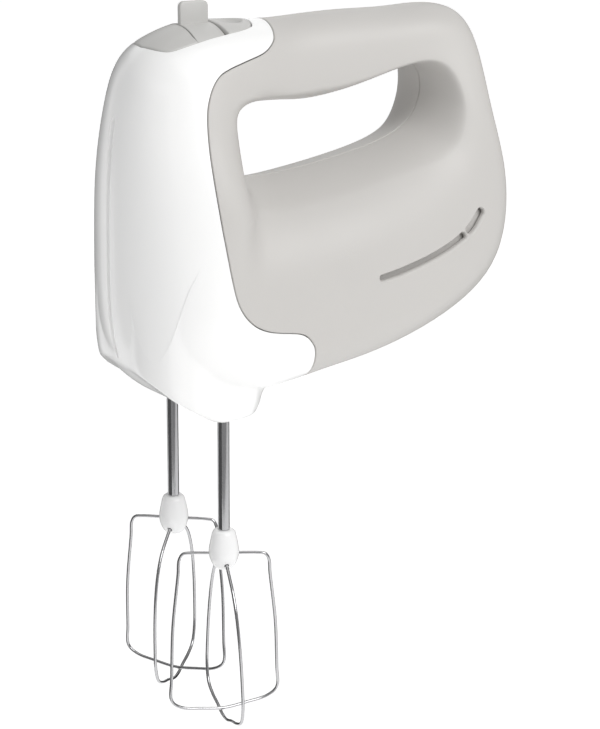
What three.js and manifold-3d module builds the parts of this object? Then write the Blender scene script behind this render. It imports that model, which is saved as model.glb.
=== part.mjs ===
// Hand mixer: one group of named meshes, millimetres, +Z up.
// X runs from the nose (-X) to the heel (+X). Y is the width. The origin is on the centre plane,
// midway between the two beater axes, in the flat face that the beaters plug into.
import * as THREE from 'three';
import { mergeVertices } from 'three/addons/utils/BufferGeometryUtils.js';
import { ParametricGeometry } from 'three/addons/geometries/ParametricGeometry.js';
import Module from 'manifold-3d';

const wasm = await Module();
wasm.setup();

// ---------------------------------------------------------------- driving dimensions
const GAP = 0.3;                     // clearance between neighbouring pieces
const WALL = 2.2;                    // moulded wall of the housing
const SIZE = 1;                      // scale of the housing outline about the origin

const SPINDLE_PITCH = 43;            // distance between the two beater axes
const SHAFT_R = 2.35;                // beater shaft radius
const WIRE_R = 0.65;                 // beater wire radius
const BORE_R = SHAFT_R + 0.35;       // bore of the hollow spindles
const SPINDLE_R = 5.6;               // outside of the spindles
const SPINDLE_TOP = 62;
const SHAFT_TOP = 40;                // top of a seated beater shaft
const HUB_TOP = -47;
const HUB_BOTTOM = -64;
const HUB_R = 6.1;
const LOOP_TOP = -57.3;              // top bars of the square loop
const LOOP_CORNER = -121;            // its lower corners
const LOOP_LOW = -126.5;             // its lowest point, on the axis
const LOOP_R_TOP = 18.1;
const LOOP_R_LOW = 22.6;
const LEAF_LOW = -131;
const LEAF_R = 23;                   // widest radius of the leaf loop
const NEAR_LOOP = [-28.8, -12.5];    // direction of the square loop, top and bottom, degrees
const FAR_LOOP = [-37.6, -53.9];
const NEAR_LEAF = [-107, -98];       // direction of the leaf loop, top and bottom
const FAR_LEAF = [-138, -140];

const MOTOR_Z = 50;                  // height of the motor axis
const MOTOR_R = 2;                   // motor shaft radius
const WHEEL_TEETH = 24;
const WHEEL_R = 16;                  // pitch radius of the worm wheels
const WORM_R = SPINDLE_PITCH / 2 - WHEEL_R;
const LEAD = 2 * Math.PI * WHEEL_R / WHEEL_TEETH;
const ADDENDUM = 1.25;
const BACKLASH = 0.4;
const WHEEL_W = 9;
const FAN_R = 22;
const ARMATURE_R = 15;
const FIELD_BORE = ARMATURE_R + 0.5;

const DRUM_AXIS_Z = 125.7;           // axis of the speed selector, along X
const DRUM_R = 26;
const DRUM_X = [-6.6, 6.4];
const FIN_TOP = 160;
const EJECT_TRAVEL = 4;

// Stations round the finger hole: inner x, z; outer x, z; half-width at the hole; full half-width;
// then, as shares of the depth: where the full width is reached, where the outer rounding begins,
// and how deep the rounding at the hole goes.
const STATIONS = [
	[34, 119.9, 30, 151.3, 11, 19, 0.4, 0.45, 0.15],
	[25, 120.4, 12, 152.2, 11, 24, 0.55, 0.42, 0.15],
	[16.5, 120, -7, 150.3, 14, 27.5, 0.6, 0.38, 0.2],
	[11.8, 115.2, -25.5, 141.5, 20, 31, 0.4, 0.3, 0.42],
	[12, 107.5, -34, 121, 31, 35.2, 0.2, 0.18, 0.56],
	[12, 100.5, -37.2, 95, 34, 40.5, 0.2, 0.14, 0.56],
	[13.5, 95, -38, 64, 25, 43, 0.4, 0.17, 0.4],
	[17, 91.8, -35, 26, 8, 43, 0.62, 0.36, 0.15],
	[21.5, 90.3, -17, 8.6, 5, 43, 0.6, 0.58, 0.1],
	[29, 89.9, 12, 6.8, 4, 43, 0.54, 0.7, 0.1],
	[42, 90.8, 38, 10.5, 4, 43, 0.55, 0.72, 0.1],
	[60, 93.3, 62, 14, 4, 42.6, 0.55, 0.72, 0.1],
	[77, 96.5, 88, 20, 5, 41, 0.58, 0.7, 0.1],
	[90, 100.5, 114, 29, 7, 38, 0.6, 0.62, 0.12],
	[99, 106, 133, 46, 11, 34, 0.62, 0.55, 0.15],
	[103.5, 114, 137.5, 76, 14, 30, 0.62, 0.5, 0.18],
	[103.8, 122.5, 131, 107, 14, 26, 0.6, 0.48, 0.22],
	[98, 129.5, 126.3, 134, 13, 21, 0.5, 0.46, 0.22],
	[85, 128.3, 115, 150.8, 13, 18, 0.4, 0.48, 0.2],
	[70, 123.6, 90, 152.3, 12, 17, 0.38, 0.48, 0.2],
	[56, 120.4, 69, 152.4, 12, 17, 0.38, 0.48, 0.2],
	[44, 119.2, 48, 151.9, 12, 17, 0.38, 0.48, 0.2],
];
// The rear face of the nose column: its x beside the hole, how far it leans back per mm below
// COLUMN_TOP, and the depth of its rounding.
const COLUMN_X = 12;
const COLUMN_TOP = 95;
const COLUMN_LEAN = 0.175;
const COLUMN_ROUND = 28;
const FULLNESS = 1.03;               // makes up for the blending of the width terms

// Side view of the joint between the white front cover and the grey housing, top to bottom.
const SEAM = [
	[29.6, 170], [29.6, 152], [28.7, 150.5], [27.2, 147.8], [25.6, 145.7], [22.5, 143.6], [18.2, 141.8],
	[10.8, 140.2], [5.2, 138.9], [1.1, 137.8], [-3.4, 136], [-7.1, 132.6], [-9.7, 128], [-11.2, 122.6],
	[-12, 113.9], [-12.3, 104], [-12, 94.4], [-10.9, 83.4], [-9.1, 71.9], [-6.8, 60.2], [-4.8, 52.8],
	[-2.3, 47.9], [0.8, 44.2], [4.5, 41.3], [9, 39.2], [14, 37.9], [22, 36.4], [26, 34.6], [28.8, 31.3],
	[29.9, 28], [30.1, 23.6], [30, 17.7], [30.3, 0],
];

// Plan of the opening for the controls on top of the cover.
const CONTROL_PLAN = [
	[-22.5, 0], [-21.9, -5], [-20.8, -9.4], [-18.8, -13.2], [-16.4, -15], [-12.6, -16], [-7.4, -16.4],
	[-2, -16.2], [4.6, -15.6], [12.2, -13.9], [18.2, -11], [20.6, -8], [21.8, -4], [22.1, 0],
];

const COLOURS = {
	white: [0xf4f4f3, 0.25, 0],
	grey: [0xcdccca, 0.5, 0],
	control: [0xbdbcb9, 0.5, 0],
	steel: [0xc8c9cb, 0.22, 1],
	wire: [0xd2d2d4, 0.2, 1],
	nylon: [0xe9e6dc, 0.5, 0],
	dark: [0x2c2d30, 0.55, 0],
	copper: [0xb36a3a, 0.35, 1],
	lamination: [0x8d9196, 0.45, 1],
	brass: [0xc9a552, 0.3, 1],
	board: [0x7d6a3c, 0.6, 0],
	carbon: [0x38393b, 0.8, 0],
};

// ---------------------------------------------------------------- small tools
const toRadians = THREE.MathUtils.degToRad;
const root = new THREE.Group();

function material([colour, roughness, metalness]) {
	return new THREE.MeshStandardMaterial({ color: colour, roughness, metalness });
}

function toSolid(geometry) {
	const bare = geometry.clone();
	bare.deleteAttribute('normal');
	bare.deleteAttribute('uv');
	const merged = mergeVertices(bare, 1e-4);
	const vertProperties = Float32Array.from(merged.attributes.position.array);
	const triVerts = Uint32Array.from(merged.index.array);
	if (signedVolume(vertProperties, triVerts) < 0) {
		for (let i = 0; i < triVerts.length; i += 3) {
			[triVerts[i], triVerts[i + 1]] = [triVerts[i + 1], triVerts[i]];
		}
	}
	return new wasm.Manifold(new wasm.Mesh({ numProp: 3, vertProperties, triVerts }));
}

function signedVolume(points, faces) {
	let sum = 0;
	const a = new THREE.Vector3();
	const b = new THREE.Vector3();
	const c = new THREE.Vector3();
	for (let i = 0; i < faces.length; i += 3) {
		a.fromArray(points, faces[i] * 3);
		b.fromArray(points, faces[i + 1] * 3);
		c.fromArray(points, faces[i + 2] * 3);
		sum += a.dot(b.cross(c));
	}
	return sum / 6;
}

function toGeometry(solid) {
	const mesh = solid.getMesh();
	const geometry = new THREE.BufferGeometry();
	geometry.setAttribute('position', new THREE.Float32BufferAttribute(mesh.vertProperties, 3));
	geometry.setIndex(new THREE.BufferAttribute(new Uint32Array(mesh.triVerts), 1));
	geometry.computeVertexNormals();
	return geometry;
}

function addPiece(name, solid, colour) {
	const mesh = new THREE.Mesh(toGeometry(solid), material(COLOURS[colour]));
	mesh.name = name;
	root.add(mesh);
	return mesh;
}

function block(x0, x1, y0, y1, z0, z1) {
	const geometry = new THREE.BoxGeometry(x1 - x0, y1 - y0, z1 - z0);
	geometry.translate((x0 + x1) / 2, (y0 + y1) / 2, (z0 + z1) / 2);
	return toSolid(geometry);
}

function outlineShape(points) {
	return new THREE.Shape(points.map(([a, b]) => new THREE.Vector2(a, b)));
}

// A flat outline in X and Y, standing from z0 to z1.
function pillar(points, z0, z1, bevel = 0) {
	const options = { depth: z1 - z0 - 2 * bevel, bevelEnabled: bevel > 0, steps: 1 };
	if (bevel > 0) {
		options.bevelSize = bevel;
		options.bevelThickness = bevel;
		options.bevelOffset = -bevel;
		options.bevelSegments = 3;
	}
	const geometry = new THREE.ExtrudeGeometry(outlineShape(points), options);
	geometry.translate(0, 0, z0 + bevel);
	return toSolid(geometry);
}

// A flat outline in X and Z, running across the width from y0 to y1.
function crosswise(points, y0, y1) {
	const shape = outlineShape(points);
	const geometry = new THREE.ExtrudeGeometry(shape, { depth: y1 - y0, bevelEnabled: false, steps: 1 });
	geometry.rotateX(Math.PI / 2);
	geometry.translate(0, y1, 0);
	return toSolid(geometry);
}

// A flat outline in Y and Z, running lengthwise from x0 to x1.
function lengthwise(points, x0, x1) {
	const shape = outlineShape(points);
	const geometry = new THREE.ExtrudeGeometry(shape, { depth: x1 - x0, bevelEnabled: false, steps: 1 });
	geometry.rotateX(Math.PI / 2);
	geometry.rotateZ(Math.PI / 2);
	geometry.translate(x0, 0, 0);
	return toSolid(geometry);
}

// A profile of [radius, height] turned about Z.
function turned(profile, segments = 24, x = 0, y = 0) {
	const points = profile.map(([r, z]) => new THREE.Vector2(r, z));
	const geometry = new THREE.LatheGeometry(points, segments);
	geometry.rotateX(Math.PI / 2);
	geometry.translate(x, y, 0);
	return toSolid(geometry);
}

// A profile of [radius, y] turned about a line across the width at x, z.
function turnedAcross(profile, x, z, segments = 16) {
	const points = profile.map(([r, y]) => new THREE.Vector2(r, y));
	const geometry = new THREE.LatheGeometry(points, segments);
	geometry.translate(x, 0, z);
	return toSolid(geometry);
}

// A profile of [radius, x] turned about the motor axis.
function turnedOnMotor(profile, segments = 24) {
	const points = profile.map(([r, x]) => new THREE.Vector2(r, x));
	const geometry = new THREE.LatheGeometry(points, segments);
	geometry.rotateZ(-Math.PI / 2);
	geometry.translate(0, 0, MOTOR_Z);
	return toSolid(geometry);
}

// A plain rod on a circle of radius r, closed at both ends.
function rodProfile(r, from, to) {
	return [[0, from], [r, from], [r, to], [0, to]];
}

function ringProfile(inner, outer, from, to) {
	return [[inner, from], [outer, from], [outer, to], [inner, to], [inner, from]];
}

// A round wire along a curve.
function wire(curve, radius, steps, sides = 8) {
	const section = new THREE.Shape();
	for (let i = 0; i < sides; i++) {
		const a = 2 * Math.PI * i / sides;
		const x = radius * Math.cos(a);
		const y = radius * Math.sin(a);
		if (i === 0) {
			section.moveTo(x, y);
		} else {
			section.lineTo(x, y);
		}
	}
	section.closePath();
	const geometry = new THREE.ExtrudeGeometry(section, { extrudePath: curve, steps, bevelEnabled: false });
	return toSolid(geometry);
}

// ---------------------------------------------------------------- housing surface
// Controls of a closed cubic B-spline that passes through the given values.
function splineControls(values) {
	const n = values.length;
	let c = values.slice();
	for (let pass = 0; pass < 60; pass++) {
		c = values.map((p, i) => (6 * p - c[(i + n - 1) % n] - c[(i + 1) % n]) / 4);
	}
	return c;
}

function splineAt(controls, s) {
	const n = controls.length;
	const at = ((s % 1) + 1) % 1 * n;
	const i = Math.floor(at) % n;
	const f = at - Math.floor(at);
	const c = (k) => controls[(i + k + n) % n];
	const w0 = (1 - f) ** 3 / 6;
	const w1 = (3 * f ** 3 - 6 * f ** 2 + 4) / 6;
	const w2 = (-3 * f ** 3 + 3 * f ** 2 + 3 * f + 1) / 6;
	const w3 = f ** 3 / 6;
	return w0 * c(-1) + w1 * c(0) + w2 * c(1) + w3 * c(2);
}

const CONTROLS = [0, 1, 2, 3, 4, 5, 6, 7, 8].map((k) => splineControls(STATIONS.map((row) => row[k])));

// Half-width of the housing at depth t (0 at the finger hole, 1 at the outside) of station s,
// where the point in side view is x, z.
function halfWidth(s, t, x, z, inset) {
	const wi = Math.max(splineAt(CONTROLS[4], s) - inset, 1.5);
	const w = splineAt(CONTROLS[5], s) * FULLNESS - inset;
	const grown = wi + (w - wi) * Math.sqrt(1 - (1 - Math.min(t / splineAt(CONTROLS[6], s), 1)) ** 2);
	const edge = 1 - Math.min(t / splineAt(CONTROLS[8], s), 1);
	const barrel = grown * Math.sqrt(1 - edge ** 2);
	const back = COLUMN_X - inset + THREE.MathUtils.clamp(COLUMN_TOP - z, 0, 60) * COLUMN_LEAN;
	const round = THREE.MathUtils.clamp((x - back + COLUMN_ROUND) / COLUMN_ROUND, 0, 1);
	const start = 1 - Math.min(t / 0.03, 1);
	const column = w * Math.sqrt(1 - round ** 2) * Math.sqrt(1 - start ** 2);
	const inside = (barrel ** 14 + column ** 14) ** (1 / 14);
	const t1 = splineAt(CONTROLS[7], s);
	const out = THREE.MathUtils.clamp((t - t1) / (1 - t1), 0, 1);
	const outside = w * (1 - out ** 2.15) ** (1 / 2.15);
	return (Math.max(inside, 1e-6) ** -12 + Math.max(outside, 1e-6) ** -12) ** (-1 / 12);
}

// A closed ring round the finger hole; inset moves it inward everywhere.
function ringSurface(inset, around, across) {
	const point = (u, v, target) => {
		const xi = splineAt(CONTROLS[0], u);
		const zi = splineAt(CONTROLS[1], u);
		const xo = splineAt(CONTROLS[2], u);
		const zo = splineAt(CONTROLS[3], u);
		const depth = Math.hypot(xo - xi, zo - zi);
		const half = v < 0.5 ? v * 2 : (1 - v) * 2;
		const t = (1 - Math.cos(Math.PI * half)) / 2;
		const along = (inset + t * (depth - 2 * inset)) / depth;
		const x = xi + (xo - xi) * along;
		const z = zi + (zo - zi) * along;
		const ends = half < 1e-9 || half > 1 - 1e-9;
		const y = ends ? 0 : halfWidth(u, t, x, z, inset) * (v < 0.5 ? 1 : -1);
		target.set(SIZE * x, SIZE * y, SIZE * z);
	};
	return toSolid(new ParametricGeometry(point, around, across));
}

const outerSolid = ringSurface(0, 42, 20);
const cavitySolid = ringSurface(WALL, 28, 12);

// The seam line moved sideways by d, closed round the nose side.
function seamPrism(d) {
	const line = SEAM.map(([x, z], i) => {
		const [ax, az] = SEAM[Math.max(i - 1, 0)];
		const [bx, bz] = SEAM[Math.min(i + 1, SEAM.length - 1)];
		const length = Math.hypot(bx - ax, bz - az);
		return [x - (bz - az) / length * d, z + (bx - ax) / length * d];
	});
	line[0][1] = 170;
	line[line.length - 1][1] = -5;
	const outline = [...line, [-60, -5], [-60, 170]];
	return crosswise(outline, -60, 60);
}

// The control opening's plan, shrunk by a clearance.
function controlPlan(clearance) {
	const halfPlan = CONTROL_PLAN.map(([x, y]) => [x * (1 - clearance / 22), y]);
	const near = halfPlan.map(([x, y]) => [x, Math.min(y + clearance, 0)]);
	const far = near.slice(1, -1).reverse().map(([x, y]) => [x, -y]);
	return [...near, ...far];
}

// ---------------------------------------------------------------- boss under the nose
const BOSS_X = [-32, 15];
const BOSS_Y = 33.5;
const SOCKET_R = SPINDLE_R + 0.45;
// Side view of the boss: it runs into the nose in front and steps up behind.
const BOSS_SIDE = [
	[-32, 19.5], [-25.4, 13.2], [-20, 9.4], [-14.4, 5.9], [-9.5, 2.6], [-6.5, 0.8], [-4, 0], [10.5, 0],
	[12.8, 0.8], [14.2, 2.6], [15, 6], [15, 26], [-32, 26],
];

function bossOutline() {
	const points = [];
	const corner = 13;
	const nose = 20;
	const centres = [
		[BOSS_X[1] - corner, BOSS_Y - corner, 0, corner], [BOSS_X[0] + nose, BOSS_Y - nose, 90, nose],
		[BOSS_X[0] + nose, nose - BOSS_Y, 180, nose], [BOSS_X[1] - corner, corner - BOSS_Y, 270, corner],
	];
	for (const [cx, cy, start, radius] of centres) {
		for (let k = 0; k <= 5; k++) {
			const a = toRadians(start + 18 * k);
			points.push([cx + radius * Math.cos(a), cy + radius * Math.sin(a)]);
		}
	}
	return points;
}

function bossSolid() {
	const w = BOSS_Y;
	const front = [[-w, 26], [-w, 6], [1.5 - w, 2.6], [3.5 - w, 0.8], [6.5 - w, 0], [w - 6.5, 0],
		[w - 3.5, 0.8], [w - 1.5, 2.6], [w, 6], [w, 26]];
	const side = crosswise(BOSS_SIDE, -40, 40);
	return side.intersect(pillar(bossOutline(), -1, 30)).intersect(lengthwise(front, -40, 40));
}

function socketCut(y) {
	return turned(rodProfile(SOCKET_R, -2, 30), 24, 0, y);
}

// ---------------------------------------------------------------- cover and housing halves
// Screw posts: x, z.
const POSTS = [[46, 135.5], [108, 138.5], [126, 62], [117, 39.5], [44, 20.5]];
const POST_R = 3.6;
const SCREW_R = 1.5;
const HEAD_R = 2.8;
const HEAD_Y = 12;                   // underside of the screw heads

function makeShell() {
	const outside = outerSolid.add(bossSolid());
	const sockets = socketCut(-SPINDLE_PITCH / 2).add(socketCut(SPINDLE_PITCH / 2));
	return outside.subtract(cavitySolid).subtract(sockets);
}

// The slot that lets cooling air out, low on each side of the heel.
const VENT = [
	[60.5, 52], [72.3, 53.6], [84, 56.2], [93.9, 59], [100.6, 61.6], [108.4, 65.4], [112.2, 68.6],
	[114, 71.4], [113.4, 73.4], [111.6, 73.6], [109.4, 71.2], [106.4, 68.4], [100.1, 64.7], [93.9, 62],
	[84, 58.9], [72.3, 56.2], [60.2, 54.4],
];
const VENT_RIB = [[101, 59], [104.4, 59], [104.4, 70], [101, 70]];

function ventCut(side) {
	const from = side < 0 ? -60 : 20;
	const slot = crosswise(VENT, from, from + 40);
	return slot.subtract(crosswise(VENT_RIB, from - 1, from + 41));
}

function addHousing() {
	const shell = makeShell();
	const front = seamPrism(-GAP / 2);
	const notRear = seamPrism(GAP / 2);
	const controls = pillar(controlPlan(0), 133, 175);
	const relief = lengthwise(circle(0, DRUM_AXIS_Z, DRUM_R + GAP + 0.1, 48), DRUM_X[0] - GAP, DRUM_X[1] + GAP)
		.intersect(block(-20, 20, -40, 40, 132, 175));
	const cover = shell.intersect(front).subtract(controls).subtract(relief).subtract(noseGroove());
	const rear = shell.subtract(notRear).subtract(relief).subtract(ventCut(-1)).subtract(ventCut(1))
		.subtract(inletCut());
	const leftSide = crosswise([[-90, -20], [200, -20], [200, 200], [-90, 200]], -70, -GAP / 2);
	const rightSide = crosswise([[-90, -20], [200, -20], [200, 200], [-90, 200]], GAP / 2, 70);
	const body = outerSolid.subtract(notRear);
	let left = rear.intersect(leftSide);
	let right = rear.intersect(rightSide);
	for (const [x, z] of POSTS) {
		const post = turnedAcross(rodProfile(POST_R, -50, 50), x, z, 12).intersect(body);
		const bore = turnedAcross(rodProfile(SCREW_R + GAP, -9.5, 60), x, z, 10);
		const head = turnedAcross(rodProfile(HEAD_R + GAP, HEAD_Y, 60), x, z, 12);
		left = left.add(post.intersect(leftSide)).subtract(bore);
		right = right.add(post.intersect(rightSide)).subtract(bore).subtract(head);
	}
	addPiece('front_cover', cover, 'white');
	addPiece('left_housing', left, 'grey');
	addPiece('right_housing', right, 'grey');
	POSTS.forEach(([x, z], i) => {
		const screw = [[0, -9], [SCREW_R, -8.4], [SCREW_R, HEAD_Y + GAP], [HEAD_R, HEAD_Y + GAP],
			[HEAD_R, HEAD_Y + 2], [1.2, HEAD_Y + 2.4], [0, HEAD_Y + 1.4]];
		addPiece('housing_screw_' + (i + 1), turnedAcross(screw, x, z, 10), 'steel');
	});
}

// The fine groove down the middle of the nose, widest at its top.
function noseGroove() {
	const outline = [[-60, 23], [-60, 120], [-33.2, 120], [-35.4, 100], [-36.7, 80], [-37, 60], [-36, 42],
		[-34.3, 30], [-33.6, 23]];
	return crosswise(outline, -1, 1);
}

// ---------------------------------------------------------------- controls on top
const EJECT_X = -16;                 // axis of the eject rod

function addEjectButton() {
	const plan = pillar(controlPlan(GAP), 134, 175);
	const rear = DRUM_X[0] - GAP;
	const outline = [[-40, 135.5], [-12.4, 135.5], [-12.4, 141.5], [rear, 141.5], [rear, 175], [-40, 175]];
	const cap = outerSolid.intersect(plan).intersect(crosswise(outline, -30, 30));
	addPiece('eject_button', cap, 'control');
}

function addEjectPusher() {
	const rod = block(EJECT_X - 3, EJECT_X + 3, -2, 2, 66.5, 135.2);
	const collar = turned(ringProfile(1, 7.2, 104, 106.5), 16, EJECT_X, 0);
	const arm = block(EJECT_X - 3, 3, -4, 4, 66.5, 70);
	const yoke = block(-3, 3, -26, 26, 66.5, 70);
	const low = SHAFT_TOP + EJECT_TRAVEL + 0.5;
	const pins = turned(rodProfile(2.2, low, 68), 16, 0, -SPINDLE_PITCH / 2)
		.add(turned(rodProfile(2.2, low, 68), 16, 0, SPINDLE_PITCH / 2));
	addPiece('eject_pusher', rod.add(collar).add(arm).add(yoke).add(pins), 'nylon');
}

class Coil extends THREE.Curve {
	constructor(centre, axis, radius, from, to, turns) {
		super();
		Object.assign(this, { centre, axis, radius, from, to, turns });
	}

	getPoint(t, target = new THREE.Vector3()) {
		const a = 2 * Math.PI * this.turns * t;
		const along = this.from + (this.to - this.from) * t;
		const p = this.radius * Math.cos(a);
		const q = this.radius * Math.sin(a);
		const [cx, cy, cz] = this.centre;
		if (this.axis === 'z') {
			return target.set(cx + p, cy + q, along);
		}
		return target.set(cx + p, along, cz + q);
	}
}

function addEjectSpring() {
	const coil = new Coil([EJECT_X, 0, 0], 'z', 5.4, 79, 103.3, 6);
	addPiece('eject_spring', wire(coil, 0.45, 54, 4), 'steel');
}

// The selector is a thin drum about an axis along X, with a fin for the thumb.
function addSelector() {
	const outline = [];
	const spread = 53;
	for (let k = 0; k <= 20; k++) {
		const a = toRadians(-spread + 2 * spread * k / 20);
		outline.push([DRUM_R * Math.sin(a), DRUM_AXIS_Z + DRUM_R * Math.cos(a)]);
	}
	for (let k = 20; k >= 0; k--) {
		const a = toRadians(-spread + 2 * spread * k / 20);
		outline.push([(DRUM_R - 2) * Math.sin(a), DRUM_AXIS_Z + (DRUM_R - 2) * Math.cos(a)]);
	}
	const drum = lengthwise(outline, DRUM_X[0], DRUM_X[1]);
	const low = DRUM_AXIS_Z - 2.6;
	const high = DRUM_AXIS_Z + DRUM_R - 1;
	const web = [[-3.2, low], [3.2, low], [6, high], [-6, high]];
	const hub = lengthwise(web, DRUM_X[0], DRUM_X[0] + 2).add(lengthwise(web, DRUM_X[1] - 2, DRUM_X[1]));
	const fin = crosswise(finOutline(), -1.3, 1.3);
	const bore = lengthwise(circle(0, DRUM_AXIS_Z, 1.8, 12), -20, 20);
	addPiece('speed_selector', drum.add(hub).add(fin).subtract(bore), 'control');
	addPiece('selector_pin', lengthwise(circle(0, DRUM_AXIS_Z, 1.5, 12), -9.5, 9.3), 'steel');
}

function finOutline() {
	const [x0, x1, round] = [-6.4, 5.6, 2];
	const base = DRUM_AXIS_Z + DRUM_R - 1;
	return [
		[x0, base], [x1, base], [x1, FIN_TOP - round], [x1 - 0.6, FIN_TOP - 0.6], [x1 - round, FIN_TOP],
		[x0 + round, FIN_TOP], [x0 + 0.6, FIN_TOP - 0.6], [x0, FIN_TOP - round],
	];
}

function circle(a, b, r, n) {
	const points = [];
	for (let k = 0; k < n; k++) {
		points.push([a + r * Math.cos(2 * Math.PI * k / n), b + r * Math.sin(2 * Math.PI * k / n)]);
	}
	return points;
}

function addTurboButton() {
	const plan = pillar(controlPlan(GAP), 134, 175);
	const x0 = DRUM_X[1] + GAP;
	const slice = crosswise([[x0, 143.5], [40, 143.5], [40, 175], [x0, 175]], -30, 30);
	const dip = turnedAcross(rodProfile(30, -9, 9), 13.5, 180.4, 48);
	const cap = outerSolid.intersect(plan).intersect(slice).subtract(dip);
	const plunger = turned(rodProfile(1.6, 137.5, 146), 12, 15, 0);
	addPiece('turbo_button', cap.add(plunger), 'control');
}

function addSwitches() {
	const base = block(-6.5, 6.5, -7, 7, 115.2, 120.6);
	const top = DRUM_AXIS_Z + 3.5;
	const lugs = block(-9.6, -7.2, -3.5, 3.5, 117, top).add(block(7, 9.4, -3.5, 3.5, 117, top))
		.add(block(-9.6, 9.4, -3.5, 3.5, 117, 120));
	const bore = lengthwise(circle(0, DRUM_AXIS_Z, 1.5 + GAP, 12), -20, 20);
	addPiece('speed_switch', base.add(lugs).subtract(bore), 'dark');
	addPiece('turbo_switch', block(10.6, 19.4, -4.5, 4.5, 125, 134.4), 'dark');
	addPiece('circuit_board', block(-6, 4.5, -18, 18, 113.2, 114.8), 'board');
	addPiece('capacitor', block(-5, 3.5, 8.5, 16.5, 115.1, 122), 'dark');
}

// ---------------------------------------------------------------- beaters
function direction(turn, z, top, low) {
	const share = THREE.MathUtils.clamp((z - top) / (low - top), 0, 1);
	return toRadians(turn[0] + (turn[1] - turn[0]) * share);
}

// A loop given as [radius, height] down one side is mirrored up the other.
function loopCurve(half, turn, y) {
	const top = half[0][1];
	const low = half[half.length - 1][1];
	const point = (r, z) => {
		const a = direction(turn, z, top, low);
		return new THREE.Vector3(r * Math.cos(a), y + r * Math.sin(a), z);
	};
	const down = half.map(([r, z]) => point(r, z));
	const up = half.slice(0, -1).reverse().map(([r, z]) => point(-r, z));
	return new THREE.CatmullRomCurve3([...down, ...up], false, 'centripetal');
}

const SQUARE = [
	[HUB_R - 1.7, LOOP_TOP], [LOOP_R_TOP - 5, LOOP_TOP], [LOOP_R_TOP - 1.6, LOOP_TOP - 0.5],
	[LOOP_R_TOP - 0.1, LOOP_TOP - 3], [LOOP_R_TOP + 0.4, LOOP_TOP - 9],
	[LOOP_R_LOW - 1.6, LOOP_CORNER + 32], [LOOP_R_LOW - 0.5, LOOP_CORNER + 10],
	[LOOP_R_LOW, LOOP_CORNER + 2], [LOOP_R_LOW - 1.2, LOOP_CORNER - 0.6],
	[LOOP_R_LOW - 5, LOOP_CORNER - 2.9], [10, LOOP_LOW + 1.2], [0, LOOP_LOW],
];

const LEAF = [
	[HUB_R - 2.3, -60.1], [9, -63.4], [15, -68.2], [19, -74.5], [LEAF_R - 1.4, -83],
	[LEAF_R - 0.1, -94], [LEAF_R, -106], [LEAF_R - 0.8, -117], [LEAF_R - 3.6, -123.8], [14.5, -126.8],
	[8, LEAF_LOW + 2.3], [3.5, LEAF_LOW + 0.5], [0, LEAF_LOW],
];

function hubProfile() {
	const height = HUB_TOP - HUB_BOTTOM;
	return [
		[SHAFT_R + GAP, HUB_BOTTOM + 4], [SHAFT_R + GAP, HUB_TOP], [3.6, HUB_TOP], [4.5, HUB_TOP - 0.06 * height],
		[5.3, HUB_TOP - 0.25 * height], [HUB_R, HUB_TOP - 0.5 * height], [5.9, HUB_TOP - 0.68 * height],
		[4.9, HUB_TOP - 0.85 * height], [3.6, HUB_TOP - 0.96 * height], [2.2, HUB_BOTTOM], [0, HUB_BOTTOM],
		[0, HUB_BOTTOM + 4], [SHAFT_R + GAP, HUB_BOTTOM + 4],
	];
}

// A hole in the hub along the first stretch of a loop, on both sides.
function pocket(half, turn, y) {
	const [r0, z0] = half[0];
	const [r1, z1] = half[1];
	const a = direction(turn, z0, half[0][1], half[half.length - 1][1]);
	const solids = [1, -1].map((side) => {
		const inner = new THREE.Vector3(side * (r0 - 0.4) * Math.cos(a), y + side * (r0 - 0.4) * Math.sin(a), z0);
		const outer = new THREE.Vector3(side * r1 * Math.cos(a), y + side * r1 * Math.sin(a), z1);
		return wire(new THREE.LineCurve3(inner, outer), WIRE_R + 0.45, 1, 6);
	});
	return solids[0].add(solids[1]);
}

function addBeater(side, y, loopTurn, leafTurn) {
	const shaft = turned([[0, HUB_BOTTOM + 4.3], [SHAFT_R, HUB_BOTTOM + 4.3], [SHAFT_R, SHAFT_TOP - 1],
		[SHAFT_R - 1, SHAFT_TOP], [0, SHAFT_TOP]], 20, 0, y);
	const wings = block(-3.9, 3.9, y - 0.6, y + 0.6, 6, 13);
	addPiece(side + '_beater_shaft', shaft.add(wings), 'steel');
	const hub = turned(hubProfile(), 16, 0, y);
	const cut = hub.subtract(pocket(SQUARE, loopTurn, y)).subtract(pocket(LEAF, leafTurn, y));
	addPiece(side + '_beater_hub', cut, 'white');
	addPiece(side + '_square_loop', wire(loopCurve(SQUARE, loopTurn, y), WIRE_R, 40, 6), 'wire');
	addPiece(side + '_leaf_loop', wire(loopCurve(LEAF, leafTurn, y), WIRE_R, 40, 6), 'wire');
}

// ---------------------------------------------------------------- gear train
function wheelOutline(phase) {
	const points = [];
	const tooth = (LEAD - BACKLASH) / 2 / WHEEL_R / 2;
	const tip = tooth - ADDENDUM * Math.tan(toRadians(20)) / WHEEL_R;
	const foot = tooth + 1.3 * ADDENDUM * Math.tan(toRadians(14)) / WHEEL_R;
	for (let k = 0; k < WHEEL_TEETH; k++) {
		const a = phase + 2 * Math.PI * k / WHEEL_TEETH;
		for (const [angle, r] of [[-foot, WHEEL_R - 1.3 * ADDENDUM], [-tip, WHEEL_R + ADDENDUM],
			[tip, WHEEL_R + ADDENDUM], [foot, WHEEL_R - 1.3 * ADDENDUM]]) {
			points.push([r * Math.cos(a + angle), r * Math.sin(a + angle)]);
		}
	}
	return points;
}

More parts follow.
